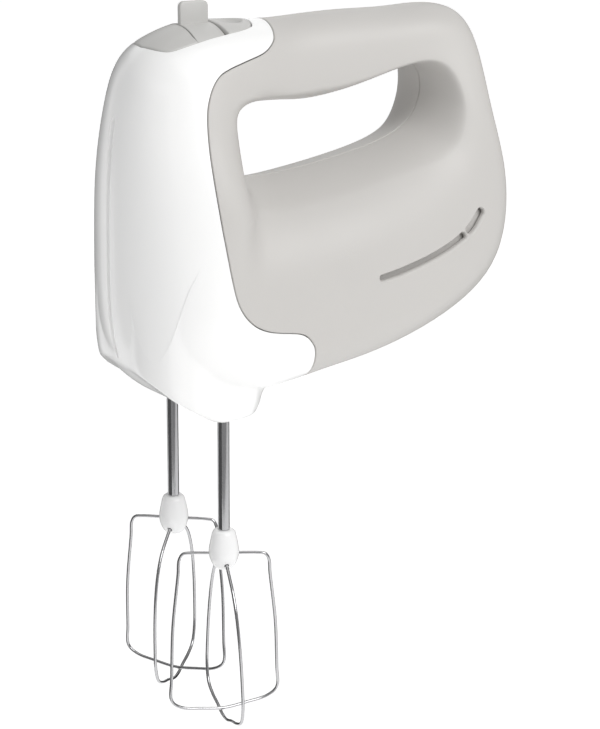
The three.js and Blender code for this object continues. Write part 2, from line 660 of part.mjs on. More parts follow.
// The teeth lean with the worm's thread, so each layer is turned a little.
function addWheel(side, y, phase) {
	const shape = outlineShape(wheelOutline(phase));
	const hole = new THREE.Path(circle(0, 0, SPINDLE_R + GAP, 24).reverse().map(([a, b]) => new THREE.Vector2(a, b)));
	shape.holes.push(hole);
	const geometry = new THREE.ExtrudeGeometry(shape, { depth: WHEEL_W, bevelEnabled: false, steps: 1 });
	const position = geometry.attributes.position;
	const lean = LEAD / (2 * Math.PI * WORM_R) / WHEEL_R;
	for (let i = 0; i < position.count; i++) {
		const z = position.getZ(i) - WHEEL_W / 2;
		const point = new THREE.Vector2(position.getX(i), position.getY(i));
		point.rotateAround(new THREE.Vector2(0, 0), z * lean);
		position.setXYZ(i, point.x, point.y + y, z + MOTOR_Z);
	}
	addPiece(side + '_worm_wheel', toSolid(geometry), 'nylon');
}

function addSpindle(side, y) {
	const tube = turned([[BORE_R, 0.6], [SPINDLE_R, 0.6], [SPINDLE_R, SPINDLE_TOP], [BORE_R, SPINDLE_TOP],
		[BORE_R, 0.6]], 24, 0, y);
	const slot = block(-4.4, 4.4, y - 1, y + 1, 0, 16);
	addPiece(side + '_spindle', tube.subtract(slot), 'steel');
}

// The worm: a core with one thread wound round it.
function addWorm() {
	const coreR = WORM_R - 1.25 * ADDENDUM;
	const tipR = WORM_R + ADDENDUM - 0.15;
	const thick = (LEAD - BACKLASH) / 2;
	const half = 12;
	const core = turnedOnMotor([[MOTOR_R + 0.25, -half - 3], [coreR, -half - 3], [coreR, half + 3],
		[MOTOR_R + 0.25, half + 3], [MOTOR_R + 0.25, -half - 3]], 24);
	const flank = [
		[coreR - 0.5, -thick * 0.85], [coreR - 0.5, thick * 0.85], [tipR, thick * 0.33], [tipR, -thick * 0.33],
	];
	const turns = 2 * (half - 1.5) / LEAD;
	const steps = Math.round(turns * 12);
	const point = (u, v, target) => {
		const corner = Math.round(v * 4) % 4;
		const [r, dx] = flank[corner];
		const a = 2 * Math.PI * turns * (u - 0.5);
		target.set(LEAD / 2 + LEAD * a / (2 * Math.PI) + dx, r * Math.cos(a), MOTOR_Z + r * Math.sin(a));
	};
	const thread = new ParametricGeometry(point, steps, 4);
	const capped = closeEnds(thread, steps, 4);
	addPiece('worm', core.add(toSolid(capped)), 'steel');
}

// Closes the two open ends of a swept four-sided thread with two triangles each.
function closeEnds(geometry, steps, sides) {
	const index = Array.from(geometry.index.array);
	const row = steps + 1;
	const at = (i, j) => j * row + i;
	index.push(at(0, 0), at(0, 1), at(0, 2), at(0, 0), at(0, 2), at(0, 3));
	index.push(at(steps, 0), at(steps, 2), at(steps, 1), at(steps, 0), at(steps, 3), at(steps, 2));
	geometry.setIndex(index);
	return geometry;
}

function addGearFrame() {
	const base = block(-17, 21.5, -29, 29, 30, 33);
	const front = block(-25, -18.4, -7, 7, 30, 73);
	const rear = block(18.2, 21.5, -30, 30, 30, 61);
	const top = block(-25, 21.5, -30, 30, 58, 61);
	const shelf = block(-25, EJECT_X + 7.5, -7, 7, 72, 78.4);
	const rodWay = block(EJECT_X - 3.4, EJECT_X + 3.4, -2.4, 2.4, 65, 90);
	const shaftHole = turnedOnMotor(rodProfile(MOTOR_R + 1, 0, 40), 16);
	const bearingHole = turnedOnMotor(rodProfile(5 + GAP, -40, -10), 16);
	const armWay = block(EJECT_X - 3.6, 4, -4.6, 4.6, 62, 71);
	let frame = base.add(front).add(rear).add(top).add(shelf).subtract(shaftHole).subtract(bearingHole);
	for (const y of [-SPINDLE_PITCH / 2, SPINDLE_PITCH / 2]) {
		frame = frame.subtract(turned(rodProfile(SPINDLE_R + 0.35, 20, 80), 24, 0, y));
	}
	addPiece('gear_frame', frame.subtract(armWay).subtract(rodWay), 'dark');
}

// ---------------------------------------------------------------- motor
function addRotor() {
	addPiece('motor_shaft', turnedOnMotor(rodProfile(MOTOR_R, -26, 114), 16), 'steel');
	addPiece('armature_core', turnedOnMotor(ringProfile(MOTOR_R + 0.25, ARMATURE_R, 53, 77), 24), 'lamination');
	addPiece('front_winding', turnedOnMotor([[MOTOR_R + 0.25, 45], [9, 45], [13, 47.5], [13.2, 52.7],
		[MOTOR_R + 0.25, 52.7], [MOTOR_R + 0.25, 45]], 20), 'copper');
	addPiece('rear_winding', turnedOnMotor([[MOTOR_R + 0.25, 77.3], [13.2, 77.3], [13, 82.5], [9, 85],
		[MOTOR_R + 0.25, 85], [MOTOR_R + 0.25, 77.3]], 20), 'copper');
	addPiece('commutator', turnedOnMotor([[MOTOR_R + 0.25, 88], [9.5, 88], [9.5, 89.5], [8, 89.5], [8, 103],
		[MOTOR_R + 0.25, 103], [MOTOR_R + 0.25, 88]], 24), 'copper');
}

function addFan() {
	let fan = turnedOnMotor(ringProfile(MOTOR_R + 0.25, 6, 26, 38), 20);
	fan = fan.add(turnedOnMotor(ringProfile(5, FAN_R, 26, 27.6), 32));
	const blade = crosswise([[27, MOTOR_Z + 5.5], [38, MOTOR_Z + 5.5], [38, MOTOR_Z + FAN_R - 1],
		[27, MOTOR_Z + FAN_R - 0.4]], -0.6, 0.6);
	for (let k = 0; k < 10; k++) {
		const geometry = toGeometry(blade);
		geometry.translate(0, 0, -MOTOR_Z);
		geometry.rotateX(2 * Math.PI * k / 10);
		geometry.translate(0, 0, MOTOR_Z);
		fan = fan.add(toSolid(geometry));
	}
	addPiece('cooling_fan', fan, 'nylon');
}

function addField() {
	const section = block(52, 78, -27, 27, MOTOR_Z - 25, MOTOR_Z + 25);
	const bore = turnedOnMotor(rodProfile(FIELD_BORE, 40, 90), 28);
	const windows = block(50, 80, -22, 22, MOTOR_Z - 11, MOTOR_Z + 11);
	addPiece('field_core', section.subtract(bore).subtract(windows), 'lamination');
	for (const [name, side] of [['lower_field_coil', -1], ['upper_field_coil', 1]]) {
		const ends = block(44, 51.7, -19, 19, MOTOR_Z + side * 19.5 - 4.5, MOTOR_Z + side * 19.5 + 4.5)
			.add(block(78.3, 86, -19, 19, MOTOR_Z + side * 19.5 - 4.5, MOTOR_Z + side * 19.5 + 4.5));
		const low = Math.min(side * 10.6, side * 5);
		const legs = block(44, 86, 17, 21.6, MOTOR_Z + low, MOTOR_Z + low + 5.6)
			.add(block(44, 86, -21.6, -17, MOTOR_Z + low, MOTOR_Z + low + 5.6));
		const corners = block(44, 51.7, 14, 21.6, MOTOR_Z + side * 14 - 9, MOTOR_Z + side * 14 + 9)
			.add(block(44, 51.7, -21.6, -14, MOTOR_Z + side * 14 - 9, MOTOR_Z + side * 14 + 9))
			.add(block(78.3, 86, 14, 21.6, MOTOR_Z + side * 14 - 9, MOTOR_Z + side * 14 + 9))
			.add(block(78.3, 86, -21.6, -14, MOTOR_Z + side * 14 - 9, MOTOR_Z + side * 14 + 9));
		addPiece(name, ends.add(legs).add(corners), 'copper');
	}
}

function addBrushes() {
	const x = 96;
	for (const [side, s] of [['left', -1], ['right', 1]]) {
		const from = (a, b) => [Math.min(s * a, s * b), Math.max(s * a, s * b)];
		const box = block(x - 4.5, x + 4.5, ...from(11, 25), MOTOR_Z - 4.5, MOTOR_Z + 4.5);
		const way = block(x - 3.3, x + 3.3, ...from(10, 23.5), MOTOR_Z - 3.3, MOTOR_Z + 3.3);
		addPiece(side + '_brush_holder', box.subtract(way), 'brass');
		addPiece(side + '_brush', block(x - 3, x + 3, ...from(8.4, 16), MOTOR_Z - 3, MOTOR_Z + 3), 'carbon');
		const coil = new Coil([x, 0, MOTOR_Z], 'y', 2.2, s * 16.8, s * 22.8, 4);
		addPiece(side + '_brush_spring', wire(coil, 0.35, 32, 4), 'steel');
	}
}

function addBearings() {
	addPiece('front_bearing', turnedOnMotor(ringProfile(MOTOR_R + GAP, 5, -25, -18.5), 16), 'brass');
	addPiece('rear_bearing', turnedOnMotor(ringProfile(MOTOR_R + GAP, 5, 106, 112), 16), 'brass');
	const plate = block(107, 110.5, -20, 20, MOTOR_Z - 12, MOTOR_Z + 20);
	const hole = turnedOnMotor(rodProfile(5 + GAP, 100, 120), 16);
	addPiece('rear_bracket', plate.subtract(hole), 'dark');
}

// ---------------------------------------------------------------- cord inlet
const INLET_Z = 88;

function inletCut() {
	return lengthwise(circle(0, INLET_Z, 5.6, 20), 124, 160);
}

function addInlet() {
	const tube = lengthwise(circle(0, INLET_Z, 5.2, 20), 122, 135.3);
	const bore = lengthwise(circle(0, INLET_Z, 3.6, 16), 120, 160);
	addPiece('cord_gland', tube.subtract(bore), 'dark');
}

addHousing();
addEjectButton();
addEjectPusher();
addEjectSpring();
addSelector();
addTurboButton();
addSwitches();
addBeater('left', -SPINDLE_PITCH / 2, NEAR_LOOP, NEAR_LEAF);
addBeater('right', SPINDLE_PITCH / 2, FAR_LOOP, FAR_LEAF);
addSpindle('left', -SPINDLE_PITCH / 2);
addSpindle('right', SPINDLE_PITCH / 2);
addWheel('left', -SPINDLE_PITCH / 2, Math.PI / 2 + Math.PI / WHEEL_TEETH);
addWheel('right', SPINDLE_PITCH / 2, -Math.PI / 2);
addWorm();
addGearFrame();
addBearings();
addRotor();
addFan();
addField();
addBrushes();
addInlet();

export default root;
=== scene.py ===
"""Hand mixer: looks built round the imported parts, in the order in which the mixer is put together."""

import math

import bpy
import numpy as np
from mathutils import Matrix


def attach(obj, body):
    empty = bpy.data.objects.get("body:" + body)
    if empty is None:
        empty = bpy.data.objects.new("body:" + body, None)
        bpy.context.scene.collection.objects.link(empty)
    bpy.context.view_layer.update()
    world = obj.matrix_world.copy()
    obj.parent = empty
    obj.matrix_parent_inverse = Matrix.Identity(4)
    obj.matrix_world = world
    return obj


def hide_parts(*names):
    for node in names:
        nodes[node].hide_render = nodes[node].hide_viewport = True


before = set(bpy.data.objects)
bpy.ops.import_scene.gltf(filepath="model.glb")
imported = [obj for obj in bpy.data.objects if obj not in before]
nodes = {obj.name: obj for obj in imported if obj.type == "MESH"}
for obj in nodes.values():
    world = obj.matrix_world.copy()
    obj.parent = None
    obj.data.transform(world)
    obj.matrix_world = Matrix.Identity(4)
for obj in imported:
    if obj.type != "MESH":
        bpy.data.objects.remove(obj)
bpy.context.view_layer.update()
MM = 0.001


# ---------------------------------------------------------------- camera
# A long lens, a little above the mixer and off its nose, so that the near side of the housing shows.
SIDE_ANGLE = math.radians(-31.389)
HEIGHT_ANGLE = math.radians(18.0)
TILT = math.radians(0.455)
STAND_OFF = 0.7983
ASIDE = -0.041217
BELOW = -0.015222

back = np.array([math.sin(SIDE_ANGLE) * math.cos(HEIGHT_ANGLE),
                 -math.cos(SIDE_ANGLE) * math.cos(HEIGHT_ANGLE), math.sin(HEIGHT_ANGLE)])
level = np.array([math.cos(SIDE_ANGLE), math.sin(SIDE_ANGLE), 0.0])
upright = np.cross(back, level)
right = level * math.cos(TILT) + upright * math.sin(TILT)
above = upright * math.cos(TILT) - level * math.sin(TILT)
place = back * STAND_OFF - right * ASIDE - above * BELOW

lens = bpy.data.cameras.new("camera")
lens.sensor_fit = "VERTICAL"
lens.sensor_height = 36
lens.lens = 98.31
camera = bpy.data.objects.new("camera", lens)
turned = np.stack([right, above, back], 1)
camera.matrix_world = Matrix([[*row, p] for row, p in zip(turned, place)] + [[0, 0, 0, 1]])
bpy.context.scene.collection.objects.link(camera)
bpy.context.scene.camera = camera


# ---------------------------------------------------------------- studio
# A pale floor that curves up into a softly lit backdrop, three large lamps, and dark boards that
# only the bright wires and shafts show, as reflections.
def add_mesh(name, points, faces):
    """An object at the origin with these points, given in millimetres, and faces."""
    mesh = bpy.data.meshes.new(name)
    mesh.from_pydata((np.asarray(points, float).reshape(-1, 3) * MM).tolist(), [], faces)
    mesh.validate()
    mesh.polygons.foreach_set("use_smooth", np.ones(len(mesh.polygons), bool))
    piece = bpy.data.objects.new(name, mesh)
    bpy.context.scene.collection.objects.link(piece)
    return piece


def grid_quads(rows, columns, around_rows=False, around_columns=False):
    """Corner numbers of the quads between neighbours on a grid; either way round may close on itself."""
    i = np.arange(rows if around_rows else rows - 1)[:, None]
    j = np.arange(columns if around_columns else columns - 1)[None, :]
    below, beside = (i + 1) % rows, (j + 1) % columns
    corners = [i * columns + j, below * columns + j, below * columns + beside, i * columns + beside]
    return np.stack(np.broadcast_arrays(*corners), -1).reshape(-1, 4)


def new_material(name, roughness=0.5, metallic=0.0):
    """A material with its Principled shader, ready to be wired."""
    material = bpy.data.materials.new(name)
    material.use_nodes = True
    shader = material.node_tree.nodes["Principled BSDF"]
    shader.inputs["Roughness"].default_value = roughness
    shader.inputs["Metallic"].default_value = metallic
    return material, shader


FLOOR_Z = -520.0
sweep = np.linspace(0, math.pi / 2, 24)
along = np.concatenate([[-1500], 2200 + 900 * np.sin(sweep), [3100]])
height = np.concatenate([[FLOOR_Z], FLOOR_Z + 900 * (1 - np.cos(sweep)), [FLOOR_Z + 3500]])
across = np.linspace(-4200, 4200, 9)
away = -back[:2] / np.linalg.norm(back[:2])
beside = np.array([-away[1], away[0]])
floor_points = np.zeros((len(along), len(across), 3))
floor_points[..., :2] = along[:, None, None] * away + across[None, :, None] * beside
floor_points[..., 2] = height[:, None]
floor = add_mesh("studio_floor", floor_points, grid_quads(len(along), len(across)).tolist())
paper, paper_shader = new_material("white_paper", 0.9)
paper_nodes, paper_links = paper.node_tree.nodes, paper.node_tree.links
paper_place = paper_nodes.new("ShaderNodeTexCoord")
paper_noise = paper_nodes.new("ShaderNodeTexNoise")
paper_noise.inputs["Scale"].default_value = 3
paper_tone = paper_nodes.new("ShaderNodeMapRange")
paper_tone.inputs["To Min"].default_value = 0.93
paper_tone.inputs["To Max"].default_value = 0.96
paper_links.new(paper_place.outputs["Object"], paper_noise.inputs["Vector"])
paper_links.new(paper_noise.outputs["Fac"], paper_tone.inputs["Value"])
paper_links.new(paper_tone.outputs["Result"], paper_shader.inputs["Base Color"])
paper_links.new(paper_tone.outputs["Result"], paper_shader.inputs["Emission Color"])
paper_shader.inputs["Emission Strength"].default_value = 0.5
floor.data.materials.append(paper)


def soft_lamp(name, azimuth, elevation, distance, size, watts):
    """A square lamp, turned to the middle of the mixer; azimuth runs from the camera's side."""
    aim = np.array([0.045, 0, 0.03])
    a = SIDE_ANGLE + math.radians(azimuth)
    e = math.radians(elevation)
    away = np.array([math.sin(a) * math.cos(e), -math.cos(a) * math.cos(e), math.sin(e)])
    level = np.array([math.cos(a), math.sin(a), 0])
    lamp = bpy.data.lights.new(name, "AREA")
    lamp.shape = "SQUARE"
    lamp.size = size
    lamp.energy = watts
    holder = bpy.data.objects.new(name, lamp)
    turned = np.stack([level, np.cross(away, level), away], 1)
    spot = aim + away * distance
    holder.matrix_world = Matrix([[*row, p] for row, p in zip(turned, spot)] + [[0, 0, 0, 1]])
    bpy.context.scene.collection.objects.link(holder)
    return holder


BOARD_X = 45.0
BOARD_R = 560.0
BOARD_Z = (-500, 330)


def grey_board(name, first, last, grey):
    """A curved upright board round the mixer, seen only in reflections: a cylinder's wall between two
    angles, which run from the camera's side."""
    a = SIDE_ANGLE + np.radians(np.linspace(first, last, 16))[:, None]
    wall = np.broadcast_arrays(BOARD_X + BOARD_R * np.sin(a), -BOARD_R * np.cos(a), np.array(BOARD_Z))
    points = np.stack(wall, -1)
    board = add_mesh(name, points, grid_quads(16, 2).tolist())
    paint, shader = new_material(name + "_paint", 0.9)
    shader.inputs["Base Color"].default_value = (grey, grey, grey, 1)
    board.data.materials.append(paint)
    board.visible_camera = board.visible_diffuse = board.visible_shadow = False


soft_lamp("key_lamp", 42, 38, 1.3, 0.9, 10.5)
soft_lamp("fill_lamp", -45, 15, 1.4, 1.0, 1.6)
soft_lamp("top_lamp", 20, 75, 1.3, 1.0, 2.2)
grey_board("left_board", -105, -30, 0.1)
grey_board("left_back_board", -172, -128, 0.03)
grey_board("right_back_board", 118, 172, 0.03)
bpy.context.scene.view_settings.view_transform = "Standard"
world = bpy.data.worlds.new("studio_air")
bpy.context.scene.world = world
world.use_nodes = True
world.node_tree.nodes["Background"].inputs["Color"].default_value = (1, 1, 1, 1)
world.node_tree.nodes["Background"].inputs["Strength"].default_value = 0.36


# ---------------------------------------------------------------- housing shell
# The housing is three injection mouldings of ABS: a gloss white cover over the nose, and two satin
# grey halves that meet on the centre plane. They share one surface, a ring round the finger hole.
STATIONS = np.array([
    # inner x, z; outer x, z; half-width at the hole; full half-width; then shares of the depth:
    # where it is full, where the outer rounding begins, how deep the rounding at the hole goes
    [34, 119.9, 30, 151.3, 11, 19, 0.4, 0.45, 0.15],
    [25, 120.4, 12, 152.2, 11, 24, 0.55, 0.42, 0.15],
    [16.5, 120, -7, 150.3, 14, 27.5, 0.6, 0.38, 0.2],
    [11.8, 115.2, -25.5, 141.5, 20, 31, 0.4, 0.3, 0.42],
    [12, 107.5, -34, 121, 31, 35.2, 0.2, 0.18, 0.56],
    [12, 100.5, -37.2, 95, 34, 40.5, 0.2, 0.14, 0.56],
    [13.5, 95, -38, 64, 25, 43, 0.4, 0.17, 0.4],
    [17, 91.8, -35, 26, 8, 43, 0.62, 0.36, 0.15],
    [21.5, 90.3, -17, 8.6, 5, 43, 0.6, 0.58, 0.1],
    [29, 89.9, 12, 6.8, 4, 43, 0.54, 0.7, 0.1],
    [42, 90.8, 38, 10.5, 4, 43, 0.55, 0.72, 0.1],
    [60, 93.3, 62, 14, 4, 42.6, 0.55, 0.72, 0.1],
    [77, 96.5, 88, 20, 5, 41, 0.58, 0.7, 0.1],
    [90, 100.5, 114, 29, 7, 38, 0.6, 0.62, 0.12],
    [99, 106, 133, 46, 11, 34, 0.62, 0.55, 0.15],
    [103.5, 114, 137.5, 76, 14, 30, 0.62, 0.5, 0.18],
    [103.8, 122.5, 131, 107, 14, 26, 0.6, 0.48, 0.22],
    [98, 129.5, 126.3, 134, 13, 21, 0.5, 0.46, 0.22],
    [85, 128.3, 115, 150.8, 13, 18, 0.4, 0.48, 0.2],
    [70, 123.6, 90, 152.3, 12, 17, 0.38, 0.48, 0.2],
    [56, 120.4, 69, 152.4, 12, 17, 0.38, 0.48, 0.2],
    [44, 119.2, 48, 151.9, 12, 17, 0.38, 0.48, 0.2],
])
TURN = len(STATIONS)
WALL = 2.2
GAP = 0.3
COLUMN_X = 12.0
COLUMN_TOP = 95.0
COLUMN_LEAN = 0.175
COLUMN_ROUND = 28.0
FULLNESS = 1.03
SPINDLE_PITCH = 43.0


def through_points(points):
    """Control points of the closed cubic B-spline that passes through the given points."""
    controls = points.copy()
    for _ in range(60):
        controls = (6 * points - np.roll(controls, 1, 0) - np.roll(controls, -1, 0)) / 4
    return controls


STATION_CONTROLS = through_points(STATIONS)


def station(s):
    """The nine station values at s, by the cubic B-spline through the stations."""
    i = np.floor(s).astype(int)
    f = (s - i)[..., None]
    c = STATION_CONTROLS
    return ((1 - f) ** 3 * c[(i - 1) % TURN] + (3 * f ** 3 - 6 * f ** 2 + 4) * c[i % TURN]
            + (-3 * f ** 3 + 3 * f ** 2 + 3 * f + 1) * c[(i + 1) % TURN] + f ** 3 * c[(i + 2) % TURN]) / 6


def half_width(q, t, x, z, inset):
    """Half the housing's width: a barrel that grows as a quarter ellipse from the hole, joined with the
    upright column behind the nose, and taken down to nothing at the outside by a superellipse."""
    wi, w, tc, t1, ti = (q[..., k] for k in range(4, 9))
    wi = np.maximum(wi - inset, 1.5)
    w = w * FULLNESS - inset
    grown = wi + (w - wi) * np.sqrt(1 - (1 - np.minimum(t / tc, 1)) ** 2)
    barrel = grown * np.sqrt(1 - (1 - np.minimum(t / ti, 1)) ** 2)
    column_back = COLUMN_X - inset + np.clip(COLUMN_TOP - z, 0, 60) * COLUMN_LEAN
    u = np.clip((x - column_back + COLUMN_ROUND) / COLUMN_ROUND, 0, 1)
    column = w * np.sqrt(1 - u ** 2) * np.sqrt(1 - (1 - np.minimum(t / 0.03, 1)) ** 2)
    inside = (barrel ** 14 + column ** 14) ** (1 / 14)
    o = np.clip((t - t1) / (1 - t1), 0, 1)
    outside = w * (1 - o ** 2.15) ** (1 / 2.15)
    return (np.maximum(inside, 1e-6) ** -12 + np.maximum(outside, 1e-6) ** -12) ** (-1 / 12)


BOSS_SIDE = np.array([[-60, 50], [-32, 19.5], [-25.4, 13.2], [-20, 9.4], [-14.4, 5.9], [-9.5, 2.6],
                      [-6.5, 0.8], [-4, 0], [60, 0]])
BOSS_WALL = np.array([[-60, 0], [-6.5, 0], [-3.5, 0.8], [-1.5, 2.6], [0, 6], [1.4, 14], [2.8, 26], [40, 600]])
BOSS_X = (-32.0, 15.0)
BOSS_Y = 33.5


def smooth_least(a, b, blend):
    """The smaller of two heights, rounded off where they come within the blend of each other."""
    share = np.clip(0.5 + 0.5 * (b - a) / blend, 0, 1)
    return b + (a - b) * share - blend * share * (1 - share)


def with_boss(x, y, z):
    """Lowers the underside to the boss: a flat wedge inside a rounded rectangle, with steep walls."""
    corner = np.interp(x, [-22, 8], [20, 13])
    middle = (BOSS_X[0] + BOSS_X[1]) / 2
    reach = (BOSS_X[1] - BOSS_X[0]) / 2
    dx = np.abs(x - middle) - (reach - corner)
    dy = np.abs(y) - (BOSS_Y - corner)
    distance = np.hypot(np.maximum(dx, 0), np.maximum(dy, 0)) + np.minimum(np.maximum(dx, dy), 0) - corner
    wedge = np.interp(x, *BOSS_SIDE.T)
    wall = np.interp(distance, *BOSS_WALL.T)
    return smooth_least(z, -smooth_least(-wedge, -wall, 4.0), 3.0)


def hull(s, h, inset=0.0):
    """The housing's surface on its -Y side: s runs round the finger hole in stations, and h from the
    hole to the outside, with the depth t = (1 - cos(pi h)) / 2. The +Y side is its mirror image."""
    q = station(s)
    t = (1 - np.cos(np.pi * h)) / 2
    xi, zi, xo, zo = (q[..., k] for k in range(4))
    depth = np.hypot(xo - xi, zo - zi)
    share = (inset + t * (depth - 2 * inset)) / depth
    x = xi + (xo - xi) * share
    z = zi + (zo - zi) * share
    y = np.where((h <= 0) | (h >= 1), 0, half_width(q, t, x, z, inset))
    low = (s % TURN > 6.3) & (s % TURN < 10.7) & (t > 0.45)
    if inset == 0:
        z = np.where(low, with_boss(x, y, z), z)
    return np.stack([x, -y, z], -1)


def ring_surface(inset, around, across):
    """The whole closed ring as a grid: stations spaced by length, and up one side and down the other."""
    fine = np.linspace(0, TURN, 4001)
    q = station(fine)
    step = np.hypot(*np.diff(q[:, 2:4], axis=0).T) + 0.5 * np.hypot(*np.diff(q[:, 0:2], axis=0).T)
    length = np.concatenate([[0], np.cumsum(step)])
    s = np.interp(np.arange(around) / around * length[-1], length, fine)
    h = np.linspace(0, 1, across + 1)
    side = hull(s[:, None], h[None, :], inset)
    other = side[:, -2:0:-1] * [1, -1, 1]
    return np.concatenate([side, other], 1)


def volume(points, faces):
    """Six times the volume inside closed faces, from the tetrahedra to the origin."""
    p = np.asarray(points, float).reshape(-1, 3)
    f = np.asarray(faces)
    total = np.einsum("ij,ij->", p[f[:, 0]], np.cross(p[f[:, 1]], p[f[:, 2]]))
    if f.shape[1] == 4:
        total += np.einsum("ij,ij->", p[f[:, 0]], np.cross(p[f[:, 2]], p[f[:, 3]]))
    return total


def torus_mesh(name, points):
    """A grid that closes both ways, with its faces outward."""
    rows, columns = points.shape[:2]
    faces = grid_quads(rows, columns, True, True)
    if volume(points, faces) < 0:
        faces = faces[:, ::-1]
    return add_mesh(name, points, faces.tolist())


def closed_mesh(name, loops):
    """Loops of points, one after the other, joined by quads; each end closes on a pole in its middle."""
    rows, columns = loops.shape[:2]
    quads = grid_quads(rows, columns, False, True)
    first, last = rows * columns, rows * columns + 1
    j = np.arange(columns)
    start = np.stack([np.full(columns, first), j, (j + 1) % columns], -1)
    base = (rows - 1) * columns
    end = np.stack([np.full(columns, last), base + (j + 1) % columns, base + j], -1)
    points = np.concatenate([loops.reshape(-1, 3), [loops[0].mean(0)], [loops[-1].mean(0)]])
    if volume(points, quads) + volume(points, start) + volume(points, end) < 0:
        quads, start, end = quads[:, ::-1], start[:, ::-1], end[:, ::-1]
    return add_mesh(name, points, quads.tolist() + start.tolist() + end.tolist())


def combine(piece, tool, operation="DIFFERENCE"):
    """Cuts the tool out of the piece, or joins it on, and takes the tool away."""
    step = piece.modifiers.new("step", "BOOLEAN")
    step.operation = operation
    step.solver = "MANIFOLD"
    step.object = tool
    finished = bpy.data.meshes.new_from_object(piece.evaluated_get(bpy.context.evaluated_depsgraph_get()))
    piece.modifiers.clear()
    piece.data = finished
    finished.name = piece.name
    bpy.data.objects.remove(tool)
    return piece


def sharp_over(piece, degrees):
    """Smooth shading, apart from edges that turn by more than the angle."""
    piece.data.polygons.foreach_set("use_smooth", np.ones(len(piece.data.polygons), bool))
    piece.data.set_sharp_from_angle(angle=math.radians(degrees))


def find_on_hull(targets, axes, s_range, h_range):
    """Where on the -Y side two coordinates have the target values: the nearest point of a coarse grid,
    then Newton steps on s and h."""
    s_grid, h_grid = np.meshgrid(np.linspace(*s_range, 160), np.linspace(*h_range, 60), indexing="ij")
    coarse = hull(s_grid, h_grid)[..., axes].reshape(-1, 2)
    nearest = np.array([np.argmin(((coarse - target) ** 2).sum(1)) for target in targets])
    s, h = s_grid.ravel()[nearest], h_grid.ravel()[nearest]
    for _ in range(12):
        p = hull(s, h)[:, axes]
        ds = (hull(s + 1e-4, h)[:, axes] - p) / 1e-4
        dh = (hull(s, h - 1e-5)[:, axes] - p) / -1e-5
        miss = targets - p
        det = ds[:, 0] * dh[:, 1] - ds[:, 1] * dh[:, 0]
        det = np.where(np.abs(det) < 1e-9, 1e-9, det)
        s = np.clip(s + np.clip((miss[:, 0] * dh[:, 1] - miss[:, 1] * dh[:, 0]) / det, -0.3, 0.3), *s_range)
        h = np.clip(h + np.clip((ds[:, 0] * miss[:, 1] - ds[:, 1] * miss[:, 0]) / det, -0.05, 0.05), *h_range)
    return s, h


def hull_normal(s, h):
    """The unit normal on the -Y side, pointing out of the housing, from differences along s and h."""
    h = np.clip(h, 0.008, 0.992)
    ds = hull(s + 0.003, h) - hull(s - 0.003, h)
    dh = hull(s, h + 0.003) - hull(s, h - 0.003)
    n = np.cross(dh, ds)
    return n / np.linalg.norm(n, axis=-1, keepdims=True)


def smooth_path(points, count):
    """Points spaced evenly along the uniform Catmull-Rom curve through the given ones."""
    p = np.asarray(points, float)
    p = np.concatenate([[2 * p[0] - p[1]], p, [2 * p[-1] - p[-2]]])
    f = np.linspace(0, 1, 12, endpoint=False)[None, :, None]
    a, b, c, d = p[:-3, None], p[1:-2, None], p[2:-1, None], p[3:, None]
    curve = 0.5 * (2 * b + (c - a) * f + (2 * a - 5 * b + 4 * c - d) * f ** 2
                   + (3 * b - a - 3 * c + d) * f ** 3)
    curve = np.concatenate([curve.reshape(-1, p.shape[1]), p[-2:-1]])
    length = np.concatenate([[0], np.cumsum(np.linalg.norm(np.diff(curve, axis=0), axis=1))])
    even = np.linspace(0, length[-1], count)
    return np.stack([np.interp(even, length, column) for column in curve.T], -1)


# Half of a joint's section, as [sideways, height over the surface]: a narrow gap with rounded lips.
LIP = 0.5
lip_angles = np.radians([0, 20, 40, 58])
joint_half = np.concatenate([
    [[GAP / 2, -5]],
    np.stack([GAP / 2 + LIP * (1 - np.cos(lip_angles)), LIP * (np.sin(lip_angles) - 1)], -1),
    [[GAP / 2 + 0.95, 0.45]],
])


def joint_tool(name, path, normals, closed, section=joint_half, scale=None):
    """The joint's section carried along a line on the surface: sideways is the cross product of the
    normal and the line's direction."""
    ahead = np.roll(path, -1, 0) - np.roll(path, 1, 0)
    if not closed:
        ahead[0], ahead[-1] = path[1] - path[0], path[-1] - path[-2]
    sideways = np.cross(normals, ahead)
    sideways /= np.linalg.norm(sideways, axis=1, keepdims=True)
    outline = np.concatenate([section, section[::-1] * [-1, 1]])
    wide = np.ones(len(path)) if scale is None else scale
    loops = (path[:, None] + sideways[:, None] * outline[None, :, :1] * wide[:, None, None]
             + normals[:, None] * outline[None, :, 1:] * wide[:, None, None])
    return torus_mesh(name, loops) if closed else closed_mesh(name, loops)


# The joint between the cover and the grey halves, in side view.
SEAM = [
    [29.5, 151.35], [28.7, 150.5], [27.2, 147.8], [25.6, 145.7], [22.5, 143.6], [18.2, 141.8],
    [10.8, 140.2], [5.2, 138.9], [1.1, 137.8], [-3.4, 136], [-7.1, 132.6], [-9.7, 128], [-11.2, 122.6],
    [-12, 113.9], [-12.3, 104], [-12, 94.4], [-10.9, 83.4], [-9.1, 71.9], [-6.8, 60.2], [-4.8, 52.8],
    [-2.3, 47.9], [0.8, 44.2], [4.5, 41.3], [9, 39.2], [14, 37.9], [22, 36.4], [26, 34.6], [28.8, 31.3],
    [29.9, 28], [30.1, 23.6], [30, 17.7], [30.1, 9.2],
]
seam_line = smooth_path(SEAM, 520)
seam_s, seam_h = find_on_hull(seam_line, [0, 2], (-0.4, 10.6), (0.02, 1))
seam_path = hull(seam_s, seam_h)
seam_normals = hull_normal(seam_s, seam_h)
seam_path[[0, -1], 1] = 0
seam_normals[[0, -1], 1] = 0
seam_normals /= np.linalg.norm(seam_normals, axis=1, keepdims=True)
mirror = np.array([1, -1, 1])
seam_loop = np.concatenate([seam_path, seam_path[-2:0:-1] * mirror])
